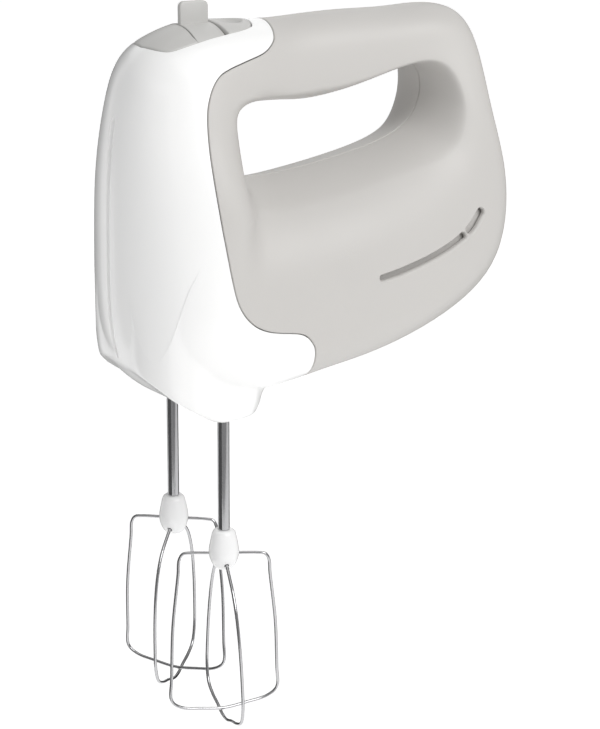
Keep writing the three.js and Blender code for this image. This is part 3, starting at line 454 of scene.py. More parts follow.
seam_loop_normals = np.concatenate([seam_normals, seam_normals[-2:0:-1] * mirror])

housing = torus_mesh("housing", ring_surface(0, 520, 170))
combine(housing, torus_mesh("hollow", ring_surface(WALL, 220, 56)))
combine(housing, joint_tool("seam_tool", seam_loop, seam_loop_normals, True))


def outline_in_plane(s, columns):
    """A line of the ring in the centre plane, with its normals away from the ring's middle line."""
    q = station(s)
    path = np.stack([q[:, columns[0]], np.zeros(len(s)), q[:, columns[1]]], -1)
    ahead = station(s + 0.01) - station(s - 0.01)
    normals = np.stack([ahead[:, columns[1]], np.zeros(len(s)), -ahead[:, columns[0]]], -1)
    normals /= np.linalg.norm(normals, axis=1, keepdims=True)
    middle = (q[:, [0, 1]] + q[:, [2, 3]]) / 2
    outward = ((path[:, [0, 2]] - middle) * normals[:, [0, 2]]).sum(1)
    return path, normals * np.sign(outward)[:, None]


parting_s = np.linspace(seam_s[-1], TURN + seam_s[0], 500)
combine(housing, joint_tool("outer_parting_tool", *outline_in_plane(parting_s, (2, 3)), False))
inner_s = np.linspace(0, TURN, 420, endpoint=False)
combine(housing, joint_tool("inner_parting_tool", *outline_in_plane(inner_s, (0, 1)), True))

# A fine groove down the middle of the nose, widest at its top.
groove_s = np.linspace(4.08, 7.05, 160)
groove_section = np.array([[0, -1.25], [0.7, -1.15], [0.95, -0.6], [1.1, 0.2], [1.3, 0.8]])
groove_scale = np.interp(groove_s, [4.08, 4.16, 5, 6.9, 7.05], [0.5, 1.5, 1.35, 1.1, 0.4])
groove_path, groove_normals = outline_in_plane(groove_s, (2, 3))
combine(housing, joint_tool("groove_tool", groove_path, groove_normals, False, groove_section, groove_scale))

# The opening for the controls: plan of one half, from the nose to the handle.
CONTROL_PLAN = [
    [-22.5, 0], [-21.9, -5], [-20.8, -9.4], [-18.8, -13.2], [-16.4, -15], [-12.6, -16], [-7.4, -16.4],
    [-2, -16.2], [4.6, -15.6], [12.2, -13.9], [18.2, -11], [20.6, -8], [21.8, -4], [22.1, 0],
]
plan_half = smooth_path(CONTROL_PLAN, 90)
control_plan = np.concatenate([plan_half, plan_half[-2:0:-1] * [1, -1]])


def top_height(plan):
    """Height of the housing's top over points of the plan."""
    flat = np.asarray(plan, float).reshape(-1, 2)
    s, h = find_on_hull(np.stack([flat[:, 0], -np.abs(flat[:, 1])], -1), [0, 1], (-0.8, 4.2), (0.5, 1))
    return hull(s, h)[:, 2].reshape(np.shape(plan)[:-1])


def outward_in_plan(plan):
    """Unit vectors square to a closed outline, away from its middle."""
    ahead = np.roll(plan, -1, 0) - np.roll(plan, 1, 0)
    n = np.stack([ahead[:, 1], -ahead[:, 0]], -1)
    n /= np.linalg.norm(n, axis=1, keepdims=True)
    return n * np.sign((n * (plan - plan.mean(0))).sum(1).mean())


plan_out = outward_in_plan(control_plan)
plan_height = top_height(control_plan)
opening_rows = np.array([[0, -14], [0, -0.6], [0.05, -0.3], [0.2, -0.1], [0.42, 0.03], [0.9, 0.3], [1.2, 4]])
opening_loops = np.zeros((len(opening_rows), len(control_plan), 3))
opening_loops[..., :2] = control_plan + plan_out * opening_rows[:, None, :1]
opening_loops[..., 2] = plan_height + opening_rows[:, 1:]
opening_loops[0, :, 2] = 133
opening_loops[-1, :, 2] = 160
combine(housing, closed_mesh("opening_tool", opening_loops))

# Slots low on each side of the heel that let the cooling air out, with a rib across them.
SLOT_TOP = [[60.1, 54.3], [66, 55.2], [72.3, 56.3], [84, 58.9], [93.9, 62], [100.1, 64.6],
            [106.4, 68.6], [111.4, 73.4]]
SLOT_LOW = [[61, 52], [66.5, 52.6], [72.3, 53.6], [84, 56.2], [93.9, 59], [100.6, 61.5],
            [108.4, 65.3], [114, 71.1]]
slot_top, slot_low = smooth_path(SLOT_TOP, 60), smooth_path(SLOT_LOW, 60)


def slot_outline(first, last):
    """A stretch of the slot between its two edges, with rounded ends, as a closed line in side view."""
    line_top, line_low = slot_top[first:last], slot_low[first:last]
    ends = []
    for a, b, turn in ((line_top[-1], line_low[-1], 1), (line_low[0], line_top[0], 1)):
        middle, arm = (a + b) / 2, (a - b) / 2
        side = np.array([arm[1], -arm[0]]) * turn
        angle = np.linspace(0, np.pi, 9)[1:-1, None]
        ends.append(middle + arm * np.cos(angle) + side * np.sin(angle) * 0.7)
    return np.concatenate([line_top, ends[0], line_low[::-1], ends[1]])


def side_height(outline):
    """How far the -Y side of the housing stands from the centre plane at points of the side view."""
    s, h = find_on_hull(outline, [0, 2], (-0.4, 21.6), (0.02, 0.98))
    return hull(s, h)[:, 1]


def side_tool(name, outline, rows, side):
    """An outline in side view pushed through the wall, wider at the surface, on the -Y or the +Y side."""
    out = outward_in_plan(outline)
    surface = side_height(outline)
    loops = np.zeros((len(rows), len(outline), 3))
    loops[..., [0, 2]] = outline + out * rows[:, None, :1]
    loops[..., 1] = side * (rows[:, 1:] - surface)
    return closed_mesh(name, loops)


slot_rows = np.array([[0, -4.5], [0, -1.1], [0.08, -0.75], [0.3, -0.4], [0.7, -0.05], [1.5, 0.5], [1.5, 3]])
for side in (-1, 1):
    for first, last in ((0, 46), (49, 60)):
        combine(housing, side_tool("slot_tool", slot_outline(first, last), slot_rows, side))

# Deep round pockets for the housing screws, on the +Y side, each with its own tube inside.
POSTS = [[46, 135.5], [108, 138.5], [126, 62], [117, 39.5], [44, 20.5]]
HEAD_Y = 12.0
POCKET_R = 3.1
TUBE_R = 4.2
circle = np.linspace(0, 2 * np.pi, 48, endpoint=False)
ring = np.stack([np.cos(circle), np.sin(circle)], -1)
for x, z in POSTS:
    reach = -side_height(np.array([[x, z]]))[0]
    tube = np.zeros((4, 48, 3))
    tube[..., [0, 2]] = [x, z] + ring * TUBE_R
    tube[..., 1] = np.array([HEAD_Y - 2, HEAD_Y + 1, reach - 5, reach - 2.5])[:, None]
    combine(housing, closed_mesh("tube_tool", tube), "UNION")
    pocket_rows = np.array([[0, HEAD_Y - reach], [0, -0.6], [0.08, -0.3], [0.3, -0.05], [0.8, 0.4], [0.8, 3]])
    pocket = np.zeros((len(pocket_rows), 48, 3))
    pocket[..., [0, 2]] = [x, z] + ring * (POCKET_R + pocket_rows[:, :1])[:, None]
    surface = -side_height(np.array([x, z]) + ring * POCKET_R)
    pocket[..., 1] = surface + pocket_rows[:, 1:]
    pocket[0, :, 1] = HEAD_Y
    combine(housing, closed_mesh("pocket_tool", pocket))

# Round sockets in the boss for the two beaters.
SOCKET_R = 6.05
socket_rows = np.array([[0, 14], [0, 0.9], [0.1, 0.45], [0.35, 0.12], [0.8, -0.25], [0.8, -2]])
for y in (-SPINDLE_PITCH / 2, SPINDLE_PITCH / 2):
    socket = np.zeros((len(socket_rows), 48, 3))
    socket[..., :2] = [0, y] + ring * (SOCKET_R + socket_rows[:, :1])[:, None]
    socket[..., 2] = socket_rows[:, 1:]
    combine(housing, closed_mesh("socket_tool", socket))

# The hole for the cord's gland, in the heel.
INLET_Z = 88.0
inlet = np.zeros((5, 48, 3))
inlet[..., 1:] = [0, INLET_Z] + ring * np.array([5.6, 5.6, 5.7, 6.3, 6.3])[:, None, None]
inlet[..., 0] = np.array([122, 135.6, 136.1, 138, 145])[:, None]
combine(housing, closed_mesh("inlet_tool", inlet))


def loose_parts(mesh):
    """A number for each vertex that is the same all over one connected part: the lowest vertex number
    spreads along the edges until nothing changes."""
    ends = np.zeros(len(mesh.edges) * 2, np.int64)
    mesh.edges.foreach_get("vertices", ends)
    a, b = ends.reshape(-1, 2).T
    label = np.arange(len(mesh.vertices))
    while True:
        low = np.minimum(label[a], label[b])
        spread = label.copy()
        np.minimum.at(spread, a, low)
        np.minimum.at(spread, b, low)
        spread = spread[spread][spread]
        if (spread == label).all():
            return label
        label = spread


def take_part(name, mesh, label, wanted):
    """A new object from the faces of one connected part of a mesh."""
    sizes = np.zeros(len(mesh.polygons), np.int64)
    starts = np.zeros(len(mesh.polygons), np.int64)
    corners = np.zeros(len(mesh.loops), np.int64)
    co = np.zeros(len(mesh.vertices) * 3)
    mesh.polygons.foreach_get("loop_total", sizes)
    mesh.polygons.foreach_get("loop_start", starts)
    mesh.loops.foreach_get("vertex_index", corners)
    mesh.vertices.foreach_get("co", co)
    keep = label == wanted
    number = np.cumsum(keep) - 1
    chosen = keep[corners[starts]]
    faces = [number[corners[a:a + n]].tolist() for a, n in zip(starts[chosen], sizes[chosen])]
    return add_mesh(name, co.reshape(-1, 3)[keep] / MM, faces)


part_labels = loose_parts(housing.data)
part_numbers, part_sizes = np.unique(part_labels, return_counts=True)
all_points = np.zeros(len(housing.data.vertices) * 3)
housing.data.vertices.foreach_get("co", all_points)
all_points = all_points.reshape(-1, 3) / MM
shells = {}
for number in part_numbers[np.argsort(part_sizes)[-3:]]:
    points = all_points[part_labels == number]
    if points[:, 0].min() < -30:
        key = "front_cover"
    else:
        key = "left_housing" if points[:, 1].mean() < 0 else "right_housing"
    shells[key] = take_part(key + "_shell", housing.data, part_labels, number)
bpy.data.objects.remove(housing)


def group_tree(name, inputs, outputs):
    """An empty shader node group with these sockets, given as (name, kind, value)."""
    tree = bpy.data.node_groups.new(name, "ShaderNodeTree")
    for label, kind, value in inputs:
        socket = tree.interface.new_socket(label, in_out="INPUT", socket_type="NodeSocket" + kind)
        if value is not None:
            socket.default_value = value
    for label, kind in outputs:
        tree.interface.new_socket(label, in_out="OUTPUT", socket_type="NodeSocket" + kind)
    return tree, tree.nodes.new("NodeGroupInput"), tree.nodes.new("NodeGroupOutput")


def math_node(tree, operation, a, b):
    """A Math node; a and b are sockets or numbers."""
    node = tree.nodes.new("ShaderNodeMath")
    node.operation = operation
    for socket, value in zip(node.inputs, (a, b)):
        if isinstance(value, (int, float)):
            socket.default_value = value
        else:
            tree.links.new(value, socket)
    return node.outputs[0]


def noise_node(tree, vector, scale, detail=2.0):
    """A Noise Texture's value; scale is a socket or a number."""
    node = tree.nodes.new("ShaderNodeTexNoise")
    node.inputs["Detail"].default_value = detail
    tree.links.new(vector, node.inputs["Vector"])
    if isinstance(scale, (int, float)):
        node.inputs["Scale"].default_value = scale
    else:
        tree.links.new(scale, node.inputs["Scale"])
    return node.outputs["Fac"]


# Moulded plastic: a slow drift of tone as the melt cools, fine grain from the tool, and small dull and
# bright patches where it has been handled.
moulded, m_in, m_out = group_tree(
    "moulded_plastic",
    [("Vector", "Vector", None), ("Colour", "Color", (0.8, 0.8, 0.8, 1)), ("Drift", "Float", 0.03),
     ("Roughness", "Float", 0.4), ("Handling", "Float", 0.05), ("Grain per metre", "Float", 1500.0)],
    [("Colour", "Color"), ("Roughness", "Float"), ("Height", "Float")])
slow = noise_node(moulded, m_in.outputs["Vector"], 22.0, 3.0)
tone = math_node(moulded, "MULTIPLY_ADD", math_node(moulded, "SUBTRACT", slow, 0.5), m_in.outputs["Drift"])
tone.node.inputs[2].default_value = 1.0
tinted = moulded.nodes.new("ShaderNodeVectorMath")
tinted.operation = "SCALE"
moulded.links.new(m_in.outputs["Colour"], tinted.inputs[0])
moulded.links.new(tone, tinted.inputs["Scale"])
patches = math_node(moulded, "SUBTRACT", noise_node(moulded, m_in.outputs["Vector"], 60.0, 4.0), 0.5)
dull = math_node(moulded, "MULTIPLY", patches, m_in.outputs["Handling"])
moulded.links.new(tinted.outputs[0], m_out.inputs["Colour"])
moulded.links.new(math_node(moulded, "ADD", dull, m_in.outputs["Roughness"]), m_out.inputs["Roughness"])
moulded.links.new(noise_node(moulded, m_in.outputs["Vector"], m_in.outputs["Grain per metre"], 1.0),
                  m_out.inputs["Height"])


def plastic(name, colour, roughness, drift=0.03, handling=0.06, grain=1500.0, depth=0.02, coat=0.0):
    """A plastic with the moulded effect; depth is the height of its grain in millimetres."""
    material, shader = new_material(name, roughness)
    tree = material.node_tree
    effect = tree.nodes.new("ShaderNodeGroup")
    effect.node_tree = moulded
    effect.inputs["Colour"].default_value = (*colour, 1)
    effect.inputs["Drift"].default_value = drift
    effect.inputs["Roughness"].default_value = roughness
    effect.inputs["Handling"].default_value = handling
    effect.inputs["Grain per metre"].default_value = grain
    where = tree.nodes.new("ShaderNodeTexCoord")
    bump = tree.nodes.new("ShaderNodeBump")
    bump.inputs["Distance"].default_value = depth * MM
    tree.links.new(where.outputs["Object"], effect.inputs["Vector"])
    tree.links.new(effect.outputs["Colour"], shader.inputs["Base Color"])
    tree.links.new(effect.outputs["Roughness"], shader.inputs["Roughness"])
    tree.links.new(effect.outputs["Height"], bump.inputs["Height"])
    tree.links.new(bump.outputs["Normal"], shader.inputs["Normal"])
    shader.inputs["Coat Weight"].default_value = coat
    shader.inputs["Coat Roughness"].default_value = 0.22
    return material


white_gloss = plastic("gloss_white_abs", (0.955, 0.955, 0.95), 0.22, 0.02, 0.03, 500.0, 0.006, 0.3)
warm_grey = plastic("satin_grey_abs", (0.57, 0.555, 0.535), 0.46, 0.04, 0.08, 2400.0, 0.03)


def finish_piece(piece, material, body, slot, *replaced):
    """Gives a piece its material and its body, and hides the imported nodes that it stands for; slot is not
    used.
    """
    piece.data.materials.clear()
    piece.data.materials.append(material)
    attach(piece, body)
    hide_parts(*replaced)


for key, material, slot_name in (("front_cover", white_gloss, "white_shell"),
                                 ("left_housing", warm_grey, "grey_shell"),
                                 ("right_housing", warm_grey, "grey_shell")):
    sharp_over(shells[key], 28)
    finish_piece(shells[key], material, "housing", slot_name, key)

# Behind each slot a grey baffle, moulded in one with the half, turns the air and hides the coils.
baffle_line = (slot_top + slot_low) / 2
first_point = baffle_line[0] + 1.5 * (baffle_line[0] - baffle_line[1])
last_point = baffle_line[-1] + 1.6 * (baffle_line[-1] - baffle_line[-2])
baffle_line = np.concatenate([[first_point], baffle_line, [last_point]])
for side, key in ((-1, "left"), (1, "right")):
    ahead = np.gradient(baffle_line, axis=0)
    across_line = np.stack([-ahead[:, 1], ahead[:, 0]], -1) / np.linalg.norm(ahead, axis=1, keepdims=True)
    middle_y = side_height(baffle_line)
    section = np.array([[-4.2, 3.2], [4.2, 3.2], [4.2, 4.2], [-4.2, 4.2]])
    loops = np.zeros((len(baffle_line), 4, 3))
    loops[..., [0, 2]] = baffle_line[:, None] + across_line[:, None] * section[None, :, :1]
    loops[..., 1] = -side * middle_y[:, None] - side * section[None, :, 1]
    baffle = closed_mesh(key + "_air_baffle", loops)
    sharp_over(baffle, 30)
    finish_piece(baffle, warm_grey, "housing", "grey_shell")


# ---------------------------------------------------------------- controls
# Three moulded caps fill the opening: the eject button at the nose, the drum of the speed selector
# with its fin, and the turbo button with a dip for the thumb. They are satin grey ABS.
control_grey = plastic("satin_control_abs", (0.56, 0.555, 0.54), 0.4, 0.04, 0.08, 2400.0, 0.025)
DRUM_AXIS_Z = 125.7
DRUM_R = 26.0
DRUM_X = (-6.6, 6.4)
EDGE = 0.55


def cap_outline(x_low, x_high):
    """Plan of the cap between two lines across the opening, a gap inside the opening's edge."""
    inset = control_plan - plan_out * (GAP + 0.05)
    near = inset[inset[:, 1] <= 0]
    near = near[np.argsort(near[:, 0])]
    x_low, x_high = max(x_low, near[0, 0]), min(x_high, near[-1, 0])
    x = np.concatenate([[x_low], near[(near[:, 0] > x_low) & (near[:, 0] < x_high), 0], [x_high]])
    y = np.interp(x, near[:, 0], near[:, 1])
    near = np.stack([x, y], -1)
    loop = np.concatenate([near, near[::-1] * [1, -1]])
    loop = np.concatenate([loop, loop[:1]])
    length = np.concatenate([[0], np.cumsum(np.linalg.norm(np.diff(loop, axis=0), axis=1))])
    even = np.linspace(0, length[-1], 180, endpoint=False)
    return np.stack([np.interp(even, length, column) for column in loop.T], -1)


def cap(name, outline, low, shape=None):
    """A cap whose top follows the housing: rings of its plan drawn in towards the middle, an edge
    rounded by a quarter circle, and an upright skirt."""
    out = outward_in_plan(outline)
    middle = outline.mean(0)
    inner = outline - out * EDGE
    shares = np.sin(np.linspace(0.03, np.pi / 2, 22))
    rows = [middle + (inner - middle) * share for share in shares]
    drops = [0.0] * len(shares)
    for angle in np.radians([20, 40, 60, 78, 90]):
        rows.append(outline - out * EDGE * (1 - math.sin(angle)))
        drops.append(EDGE * (1 - math.cos(angle)))
    plan = np.stack(rows)
    z = top_height(plan)
    if shape is not None:
        z = shape(plan[..., 0], plan[..., 1], z)
    top = np.concatenate([plan, (z - np.array(drops)[:, None])[..., None]], -1)
    skirt = np.concatenate([outline, np.full((len(outline), 1), low)], -1)
    return closed_mesh(name, np.concatenate([top, skirt[None]]))


def thumb_dip(x, y, z):
    """A shallow elliptical bowl let into the top."""
    bowl = 149.9 + (x - 14.3) ** 2 / 16 + y ** 2 / 28
    return smooth_least(z, bowl, 0.5)


def meet_drum(x, y, z):
    """The top rises towards the drum, so that the two meet flush at the joint."""
    share = np.clip((x + 24) / 17, 0, 1)
    drum_top = DRUM_AXIS_Z + np.sqrt(DRUM_R ** 2 - y ** 2)
    joint_y = np.clip(np.abs(y), 0, 15.9)
    house = top_height(np.stack([np.full_like(x, DRUM_X[0] - GAP), joint_y], -1))
    return z + np.maximum(drum_top - 0.2 - house, 0) * share ** 2 * (3 - 2 * share)


eject_cap = cap("eject_button_cap", cap_outline(-30, DRUM_X[0] - GAP), 141.5, meet_drum)
turbo_cap = cap("turbo_button_cap", cap_outline(DRUM_X[1] + GAP, 30), 144.0, thumb_dip)
for piece, body, node in ((eject_cap, "ejector", "eject_button"), (turbo_cap, "turbo", "turbo_button")):
    sharp_over(piece, 40)
    finish_piece(piece, control_grey, body, "control_grey", node)


def rounded_rectangle(width, depth, radius, steps=6):
    """Corner arcs of a rectangle about its middle, as a closed line."""
    angle = np.linspace(0, np.pi / 2, steps)
    arcs = []
    for k, (sx, sy) in enumerate(((1, 1), (-1, 1), (-1, -1), (1, -1))):
        a = angle + k * np.pi / 2
        arcs.append(np.stack([sx * (width / 2 - radius) + radius * np.cos(a),
                              sy * (depth / 2 - radius) + radius * np.sin(a)], -1))
    return np.concatenate(arcs)


drum_angle = np.radians(np.linspace(-53, 53, 90))
drum_profile = rounded_rectangle(DRUM_X[1] - DRUM_X[0], 2.2, 0.4)
drum_loops = np.stack(np.broadcast_arrays(
    sum(DRUM_X) / 2 + drum_profile[None, :, 0],
    (DRUM_R - 1.1 + drum_profile[None, :, 1]) * np.sin(drum_angle)[:, None],
    DRUM_AXIS_Z + (DRUM_R - 1.1 + drum_profile[None, :, 1]) * np.cos(drum_angle)[:, None]), -1)
selector = closed_mesh("speed_selector_drum", drum_loops)

FIN_X = (-6.4, 5.6)
FIN_TOP = 160.0
FIN_FOOT = 150.0
FIN_ROOT = 4.0
FIN_CORNER = 2.1
fin_edge = np.array([[0.6, -1.25], [0.22, -1.17], [0.05, -0.98], [0, -0.7]])
fin_rows = np.concatenate([fin_edge, fin_edge[::-1] * [1, -1]])
fin_middle = [sum(FIN_X) / 2, (FIN_TOP + FIN_FOOT - FIN_ROOT) / 2]
fin_loops = np.zeros((len(fin_rows), 40, 3))
for k, (inset, y) in enumerate(fin_rows):
    wide, high = FIN_X[1] - FIN_X[0] - 2 * inset, FIN_TOP - FIN_FOOT + FIN_ROOT - 2 * inset
    fin_loops[k, :, [0, 2]] = (rounded_rectangle(wide, high, FIN_CORNER, 10) + fin_middle).T
    fin_loops[k, :, 1] = y
combine(selector, closed_mesh("fin_tool", fin_loops), "UNION")
web_plan = np.array([[-3.2, -2.6], [3.2, -2.6], [6, 25], [-6, 25]])
for x in (DRUM_X[0] + 0.2, DRUM_X[1] - 2.2):
    web = np.zeros((2, 4, 3))
    web[..., 0] = np.array([x, x + 2])[:, None]
    web[..., 1:] = web_plan + [0, DRUM_AXIS_Z]
    combine(selector, closed_mesh("web_tool", web), "UNION")
sharp_over(selector, 35)
finish_piece(selector, control_grey, "selector", "control_grey", "speed_selector")


# ---------------------------------------------------------------- metals
# Drawn and turned metal shows fine lines along its length, and the shine varies along them.
drawn, d_in, d_out = group_tree(
    "drawn_metal",
    [("Vector", "Vector", None), ("Colour", "Color", (0.5, 0.5, 0.5, 1)), ("Roughness", "Float", 0.2),
     ("Lines per metre", "Float", 3000.0), ("Depth", "Float", 0.1)],
    [("Colour", "Color"), ("Roughness", "Float"), ("Height", "Float")])
lines = noise_node(drawn, d_in.outputs["Vector"], d_in.outputs["Lines per metre"], 2.0)
clouds = noise_node(drawn, d_in.outputs["Vector"], 40.0, 3.0)
swing = math_node(drawn, "MULTIPLY", math_node(drawn, "SUBTRACT", lines, 0.5), d_in.outputs["Depth"])
tone = math_node(drawn, "ADD", swing, 1.0)
metal_tint = drawn.nodes.new("ShaderNodeVectorMath")
metal_tint.operation = "SCALE"
drawn.links.new(d_in.outputs["Colour"], metal_tint.inputs[0])
drawn.links.new(tone, metal_tint.inputs["Scale"])
drawn.links.new(metal_tint.outputs[0], d_out.inputs["Colour"])
haze = math_node(drawn, "MULTIPLY", math_node(drawn, "SUBTRACT", clouds, 0.5), 0.12)
haze = math_node(drawn, "ADD", haze, math_node(drawn, "MULTIPLY", swing, 0.3))
drawn.links.new(math_node(drawn, "ADD", haze, d_in.outputs["Roughness"]), d_out.inputs["Roughness"])
drawn.links.new(lines, d_out.inputs["Height"])


def metal(name, colour, roughness, stretch=(1, 1, 0.02), lines_per_metre=3000.0, depth=0.15, bump=0.004):
    """A metal whose drawing lines run along the axis with the small stretch."""
    material, shader = new_material(name, roughness, 1.0)
    tree = material.node_tree
    effect = tree.nodes.new("ShaderNodeGroup")
    effect.node_tree = drawn
    effect.inputs["Colour"].default_value = (*colour, 1)
    effect.inputs["Roughness"].default_value = roughness
    effect.inputs["Lines per metre"].default_value = lines_per_metre
    effect.inputs["Depth"].default_value = depth
    where = tree.nodes.new("ShaderNodeTexCoord")
    turn = tree.nodes.new("ShaderNodeMapping")
    turn.inputs["Scale"].default_value = stretch
    relief = tree.nodes.new("ShaderNodeBump")
    relief.inputs["Distance"].default_value = bump * MM
    tree.links.new(where.outputs["Object"], turn.inputs["Vector"])
    tree.links.new(turn.outputs["Vector"], effect.inputs["Vector"])
    tree.links.new(effect.outputs["Colour"], shader.inputs["Base Color"])
    tree.links.new(effect.outputs["Roughness"], shader.inputs["Roughness"])
    tree.links.new(effect.outputs["Height"], relief.inputs["Height"])
    tree.links.new(relief.outputs["Normal"], shader.inputs["Normal"])
    return material


bright_steel = metal("polished_stainless", (0.5, 0.5, 0.51), 0.14)
plain_steel = metal("turned_steel", (0.5, 0.5, 0.51), 0.3)


# ---------------------------------------------------------------- beaters
# Each beater is a ground stainless shaft with two drive wings, a white egg-shaped hub moulded on its
# end, and two loops of stainless wire whose ends are caught in the hub.
SHAFT_R = 2.35
WIRE_R = 0.65
SHAFT_TOP = 40.0
HUB_TOP = -47.0
HUB_BOTTOM = -64.0
HUB_R = 6.1
LOOP_TOP = -57.3
LOOP_CORNER = -121.0
LOOP_LOW = -126.5
LOOP_R_TOP = 18.1
LOOP_R_LOW = 22.6
LEAF_LOW = -131.0
LEAF_R = 23.0
SQUARE = np.array([
    [HUB_R - 1.7, LOOP_TOP], [LOOP_R_TOP - 5, LOOP_TOP], [LOOP_R_TOP - 1.6, LOOP_TOP - 0.5],
    [LOOP_R_TOP - 0.1, LOOP_TOP - 3], [LOOP_R_TOP + 0.4, LOOP_TOP - 9],
    [LOOP_R_LOW - 1.6, LOOP_CORNER + 32], [LOOP_R_LOW - 0.5, LOOP_CORNER + 10],
    [LOOP_R_LOW, LOOP_CORNER + 2], [LOOP_R_LOW - 1.2, LOOP_CORNER - 0.6],
    [LOOP_R_LOW - 5, LOOP_CORNER - 2.9], [10, LOOP_LOW + 1.2], [0, LOOP_LOW],
])
LEAF = np.array([
    [HUB_R - 2.3, -60.1], [9, -63.4], [15, -68.2], [19, -74.5], [LEAF_R - 1.4, -83],
    [LEAF_R - 0.1, -94], [LEAF_R, -106], [LEAF_R - 0.8, -117], [LEAF_R - 3.6, -123.8], [14.5, -126.8],
    [8, LEAF_LOW + 2.3], [3.5, LEAF_LOW + 0.5], [0, LEAF_LOW],
])
hub_white = plastic("hub_white", (0.9, 0.9, 0.9), 0.25, 0.02, 0.05, 600.0, 0.006, 0.25)


def centripetal_path(points, count):
    """Points along the centripetal Catmull-Rom curve through the given ones, spaced evenly."""
    p = np.concatenate([[2 * points[0] - points[1]], points, [2 * points[-1] - points[-2]]])
    knots = np.concatenate([[0], np.cumsum(np.linalg.norm(np.diff(p, axis=0), axis=1) ** 0.5)])
    a, b, c, d = p[:-3, None], p[1:-2, None], p[2:-1, None], p[3:, None]
    ta, tb, tc, td = (k[:, None, None] for k in (knots[:-3], knots[1:-2], knots[2:-1], knots[3:]))
    u = tb + (tc - tb) * np.linspace(0, 1, 24, endpoint=False)[None, :, None]
    ab = (a * (tb - u) + b * (u - ta)) / (tb - ta)
    bc = (b * (tc - u) + c * (u - tb)) / (tc - tb)
    cd = (c * (td - u) + d * (u - tc)) / (td - tc)
    abc = (ab * (tc - u) + bc * (u - ta)) / (tc - ta)
    bcd = (bc * (td - u) + cd * (u - tb)) / (td - tb)
    curve = ((abc * (tc - u) + bcd * (u - tb)) / (tc - tb)).reshape(-1, p.shape[1])
    curve = np.concatenate([curve, points[-1:]])
    length = np.concatenate([[0], np.cumsum(np.linalg.norm(np.diff(curve, axis=0), axis=1))])
    even = np.linspace(0, length[-1], count)
    return np.stack([np.interp(even, length, column) for column in curve.T], -1)


def bent_wire(name, path, radius, around=16):
    """A circle carried along the path; it is set square to the path by the path's own level normal."""
    ahead = np.gradient(path, axis=0)
    ahead /= np.linalg.norm(ahead, axis=1, keepdims=True)
    chord = path[-1] - path[0]
    level = np.cross(np.array([chord[0], chord[1], 0]), [0, 0, 1])
    level = level / np.linalg.norm(level)
    first = np.cross(ahead, level)
    first /= np.linalg.norm(first, axis=1, keepdims=True)
    second = np.cross(ahead, first)
    a = np.linspace(0, 2 * np.pi, around, endpoint=False)[None, :, None]
    spokes = np.cos(a) * first[:, None] + np.sin(a) * second[:, None]
    return closed_mesh(name, path[:, None] + radius * spokes)


def loop_path(half, turn, y, count):
    """A wire loop from one side of its half outline, [radius, height], turned a little as it goes down."""
    share = np.clip((half[:, 1] - half[0, 1]) / (half[-1, 1] - half[0, 1]), 0, 1)
    angle = np.radians(turn[0] + (turn[1] - turn[0]) * share)
    down = np.stack([half[:, 0] * np.cos(angle), y + half[:, 0] * np.sin(angle), half[:, 1]], -1)
    up = np.stack([-half[:, 0] * np.cos(angle), y - half[:, 0] * np.sin(angle), half[:, 1]], -1)
    return centripetal_path(np.concatenate([down, up[-2::-1]]), count)


def lathe(name, profile, x, y, around=64):
    """A profile of [radius, height] turned about an upright axis, closed by a pole at each end."""
    a = np.linspace(0, 2 * np.pi, around, endpoint=False)
    profile = np.asarray(profile, float)
    loops = np.stack(np.broadcast_arrays(x + profile[:, :1] * np.cos(a), y + profile[:, :1] * np.sin(a),
                                         profile[:, 1:]), -1)
    return closed_mesh(name, loops)


hub_line = smooth_path([[3.5, HUB_TOP], [4.6, HUB_TOP - 1.1], [5.35, HUB_TOP - 4.2], [HUB_R, HUB_TOP - 8.5],
                        [5.9, HUB_TOP - 11.6], [4.9, HUB_TOP - 14.4], [3.6, HUB_TOP - 16.2],
                        [1.6, HUB_BOTTOM + 0.05]], 44)
BEATERS = (("left", -1, (-28.8, -12.5), (-107, -98)), ("right", 1, (-37.6, -53.9), (-138, -140)))
for name, side, square_turn, leaf_turn in BEATERS:
    y = side * SPINDLE_PITCH / 2
    body = name + "_beater"
    shaft_line = [[1.9, HUB_BOTTOM + 4.3], [SHAFT_R, HUB_BOTTOM + 4.8], [SHAFT_R, SHAFT_TOP - 1.2],
                  [SHAFT_R - 0.25, SHAFT_TOP - 0.6], [1.3, SHAFT_TOP]]
    shaft = lathe(body + "_rod", shaft_line, 0, y)
    wing = np.zeros((6, 24, 3))
    wing_shape = rounded_rectangle(7.8, 1.2, 0.4)
    for k, (z, share) in enumerate(((6, 0.75), (6.4, 0.92), (7, 1), (12, 1), (12.6, 0.92), (13, 0.75))):
        wing[k, :, :2] = [0, y] + wing_shape * [share, 1]
        wing[k, :, 2] = z
    combine(shaft, closed_mesh("wing_tool", wing), "UNION")
    sharp_over(shaft, 35)
    finish_piece(shaft, bright_steel, body, "bright_steel", body + "_shaft")
    hub = lathe(body + "_egg", hub_line, 0, y)
    for label, half, turn in (("square", SQUARE, square_turn), ("leaf", LEAF, leaf_turn)):
        path = loop_path(half, turn, y, 420)
        for end in (path[:14], path[:-15:-1]):
            combine(hub, bent_wire("pocket_tool", end, WIRE_R + 0.4, 20))
        wire = bent_wire(name + "_" + label + "_wire", path, WIRE_R)
        finish_piece(wire, bright_steel, body, "bright_steel", name + "_" + label + "_loop")
    sharp_over(hub, 35)
    finish_piece(hub, hub_white, body, "beater_hub", body + "_hub")


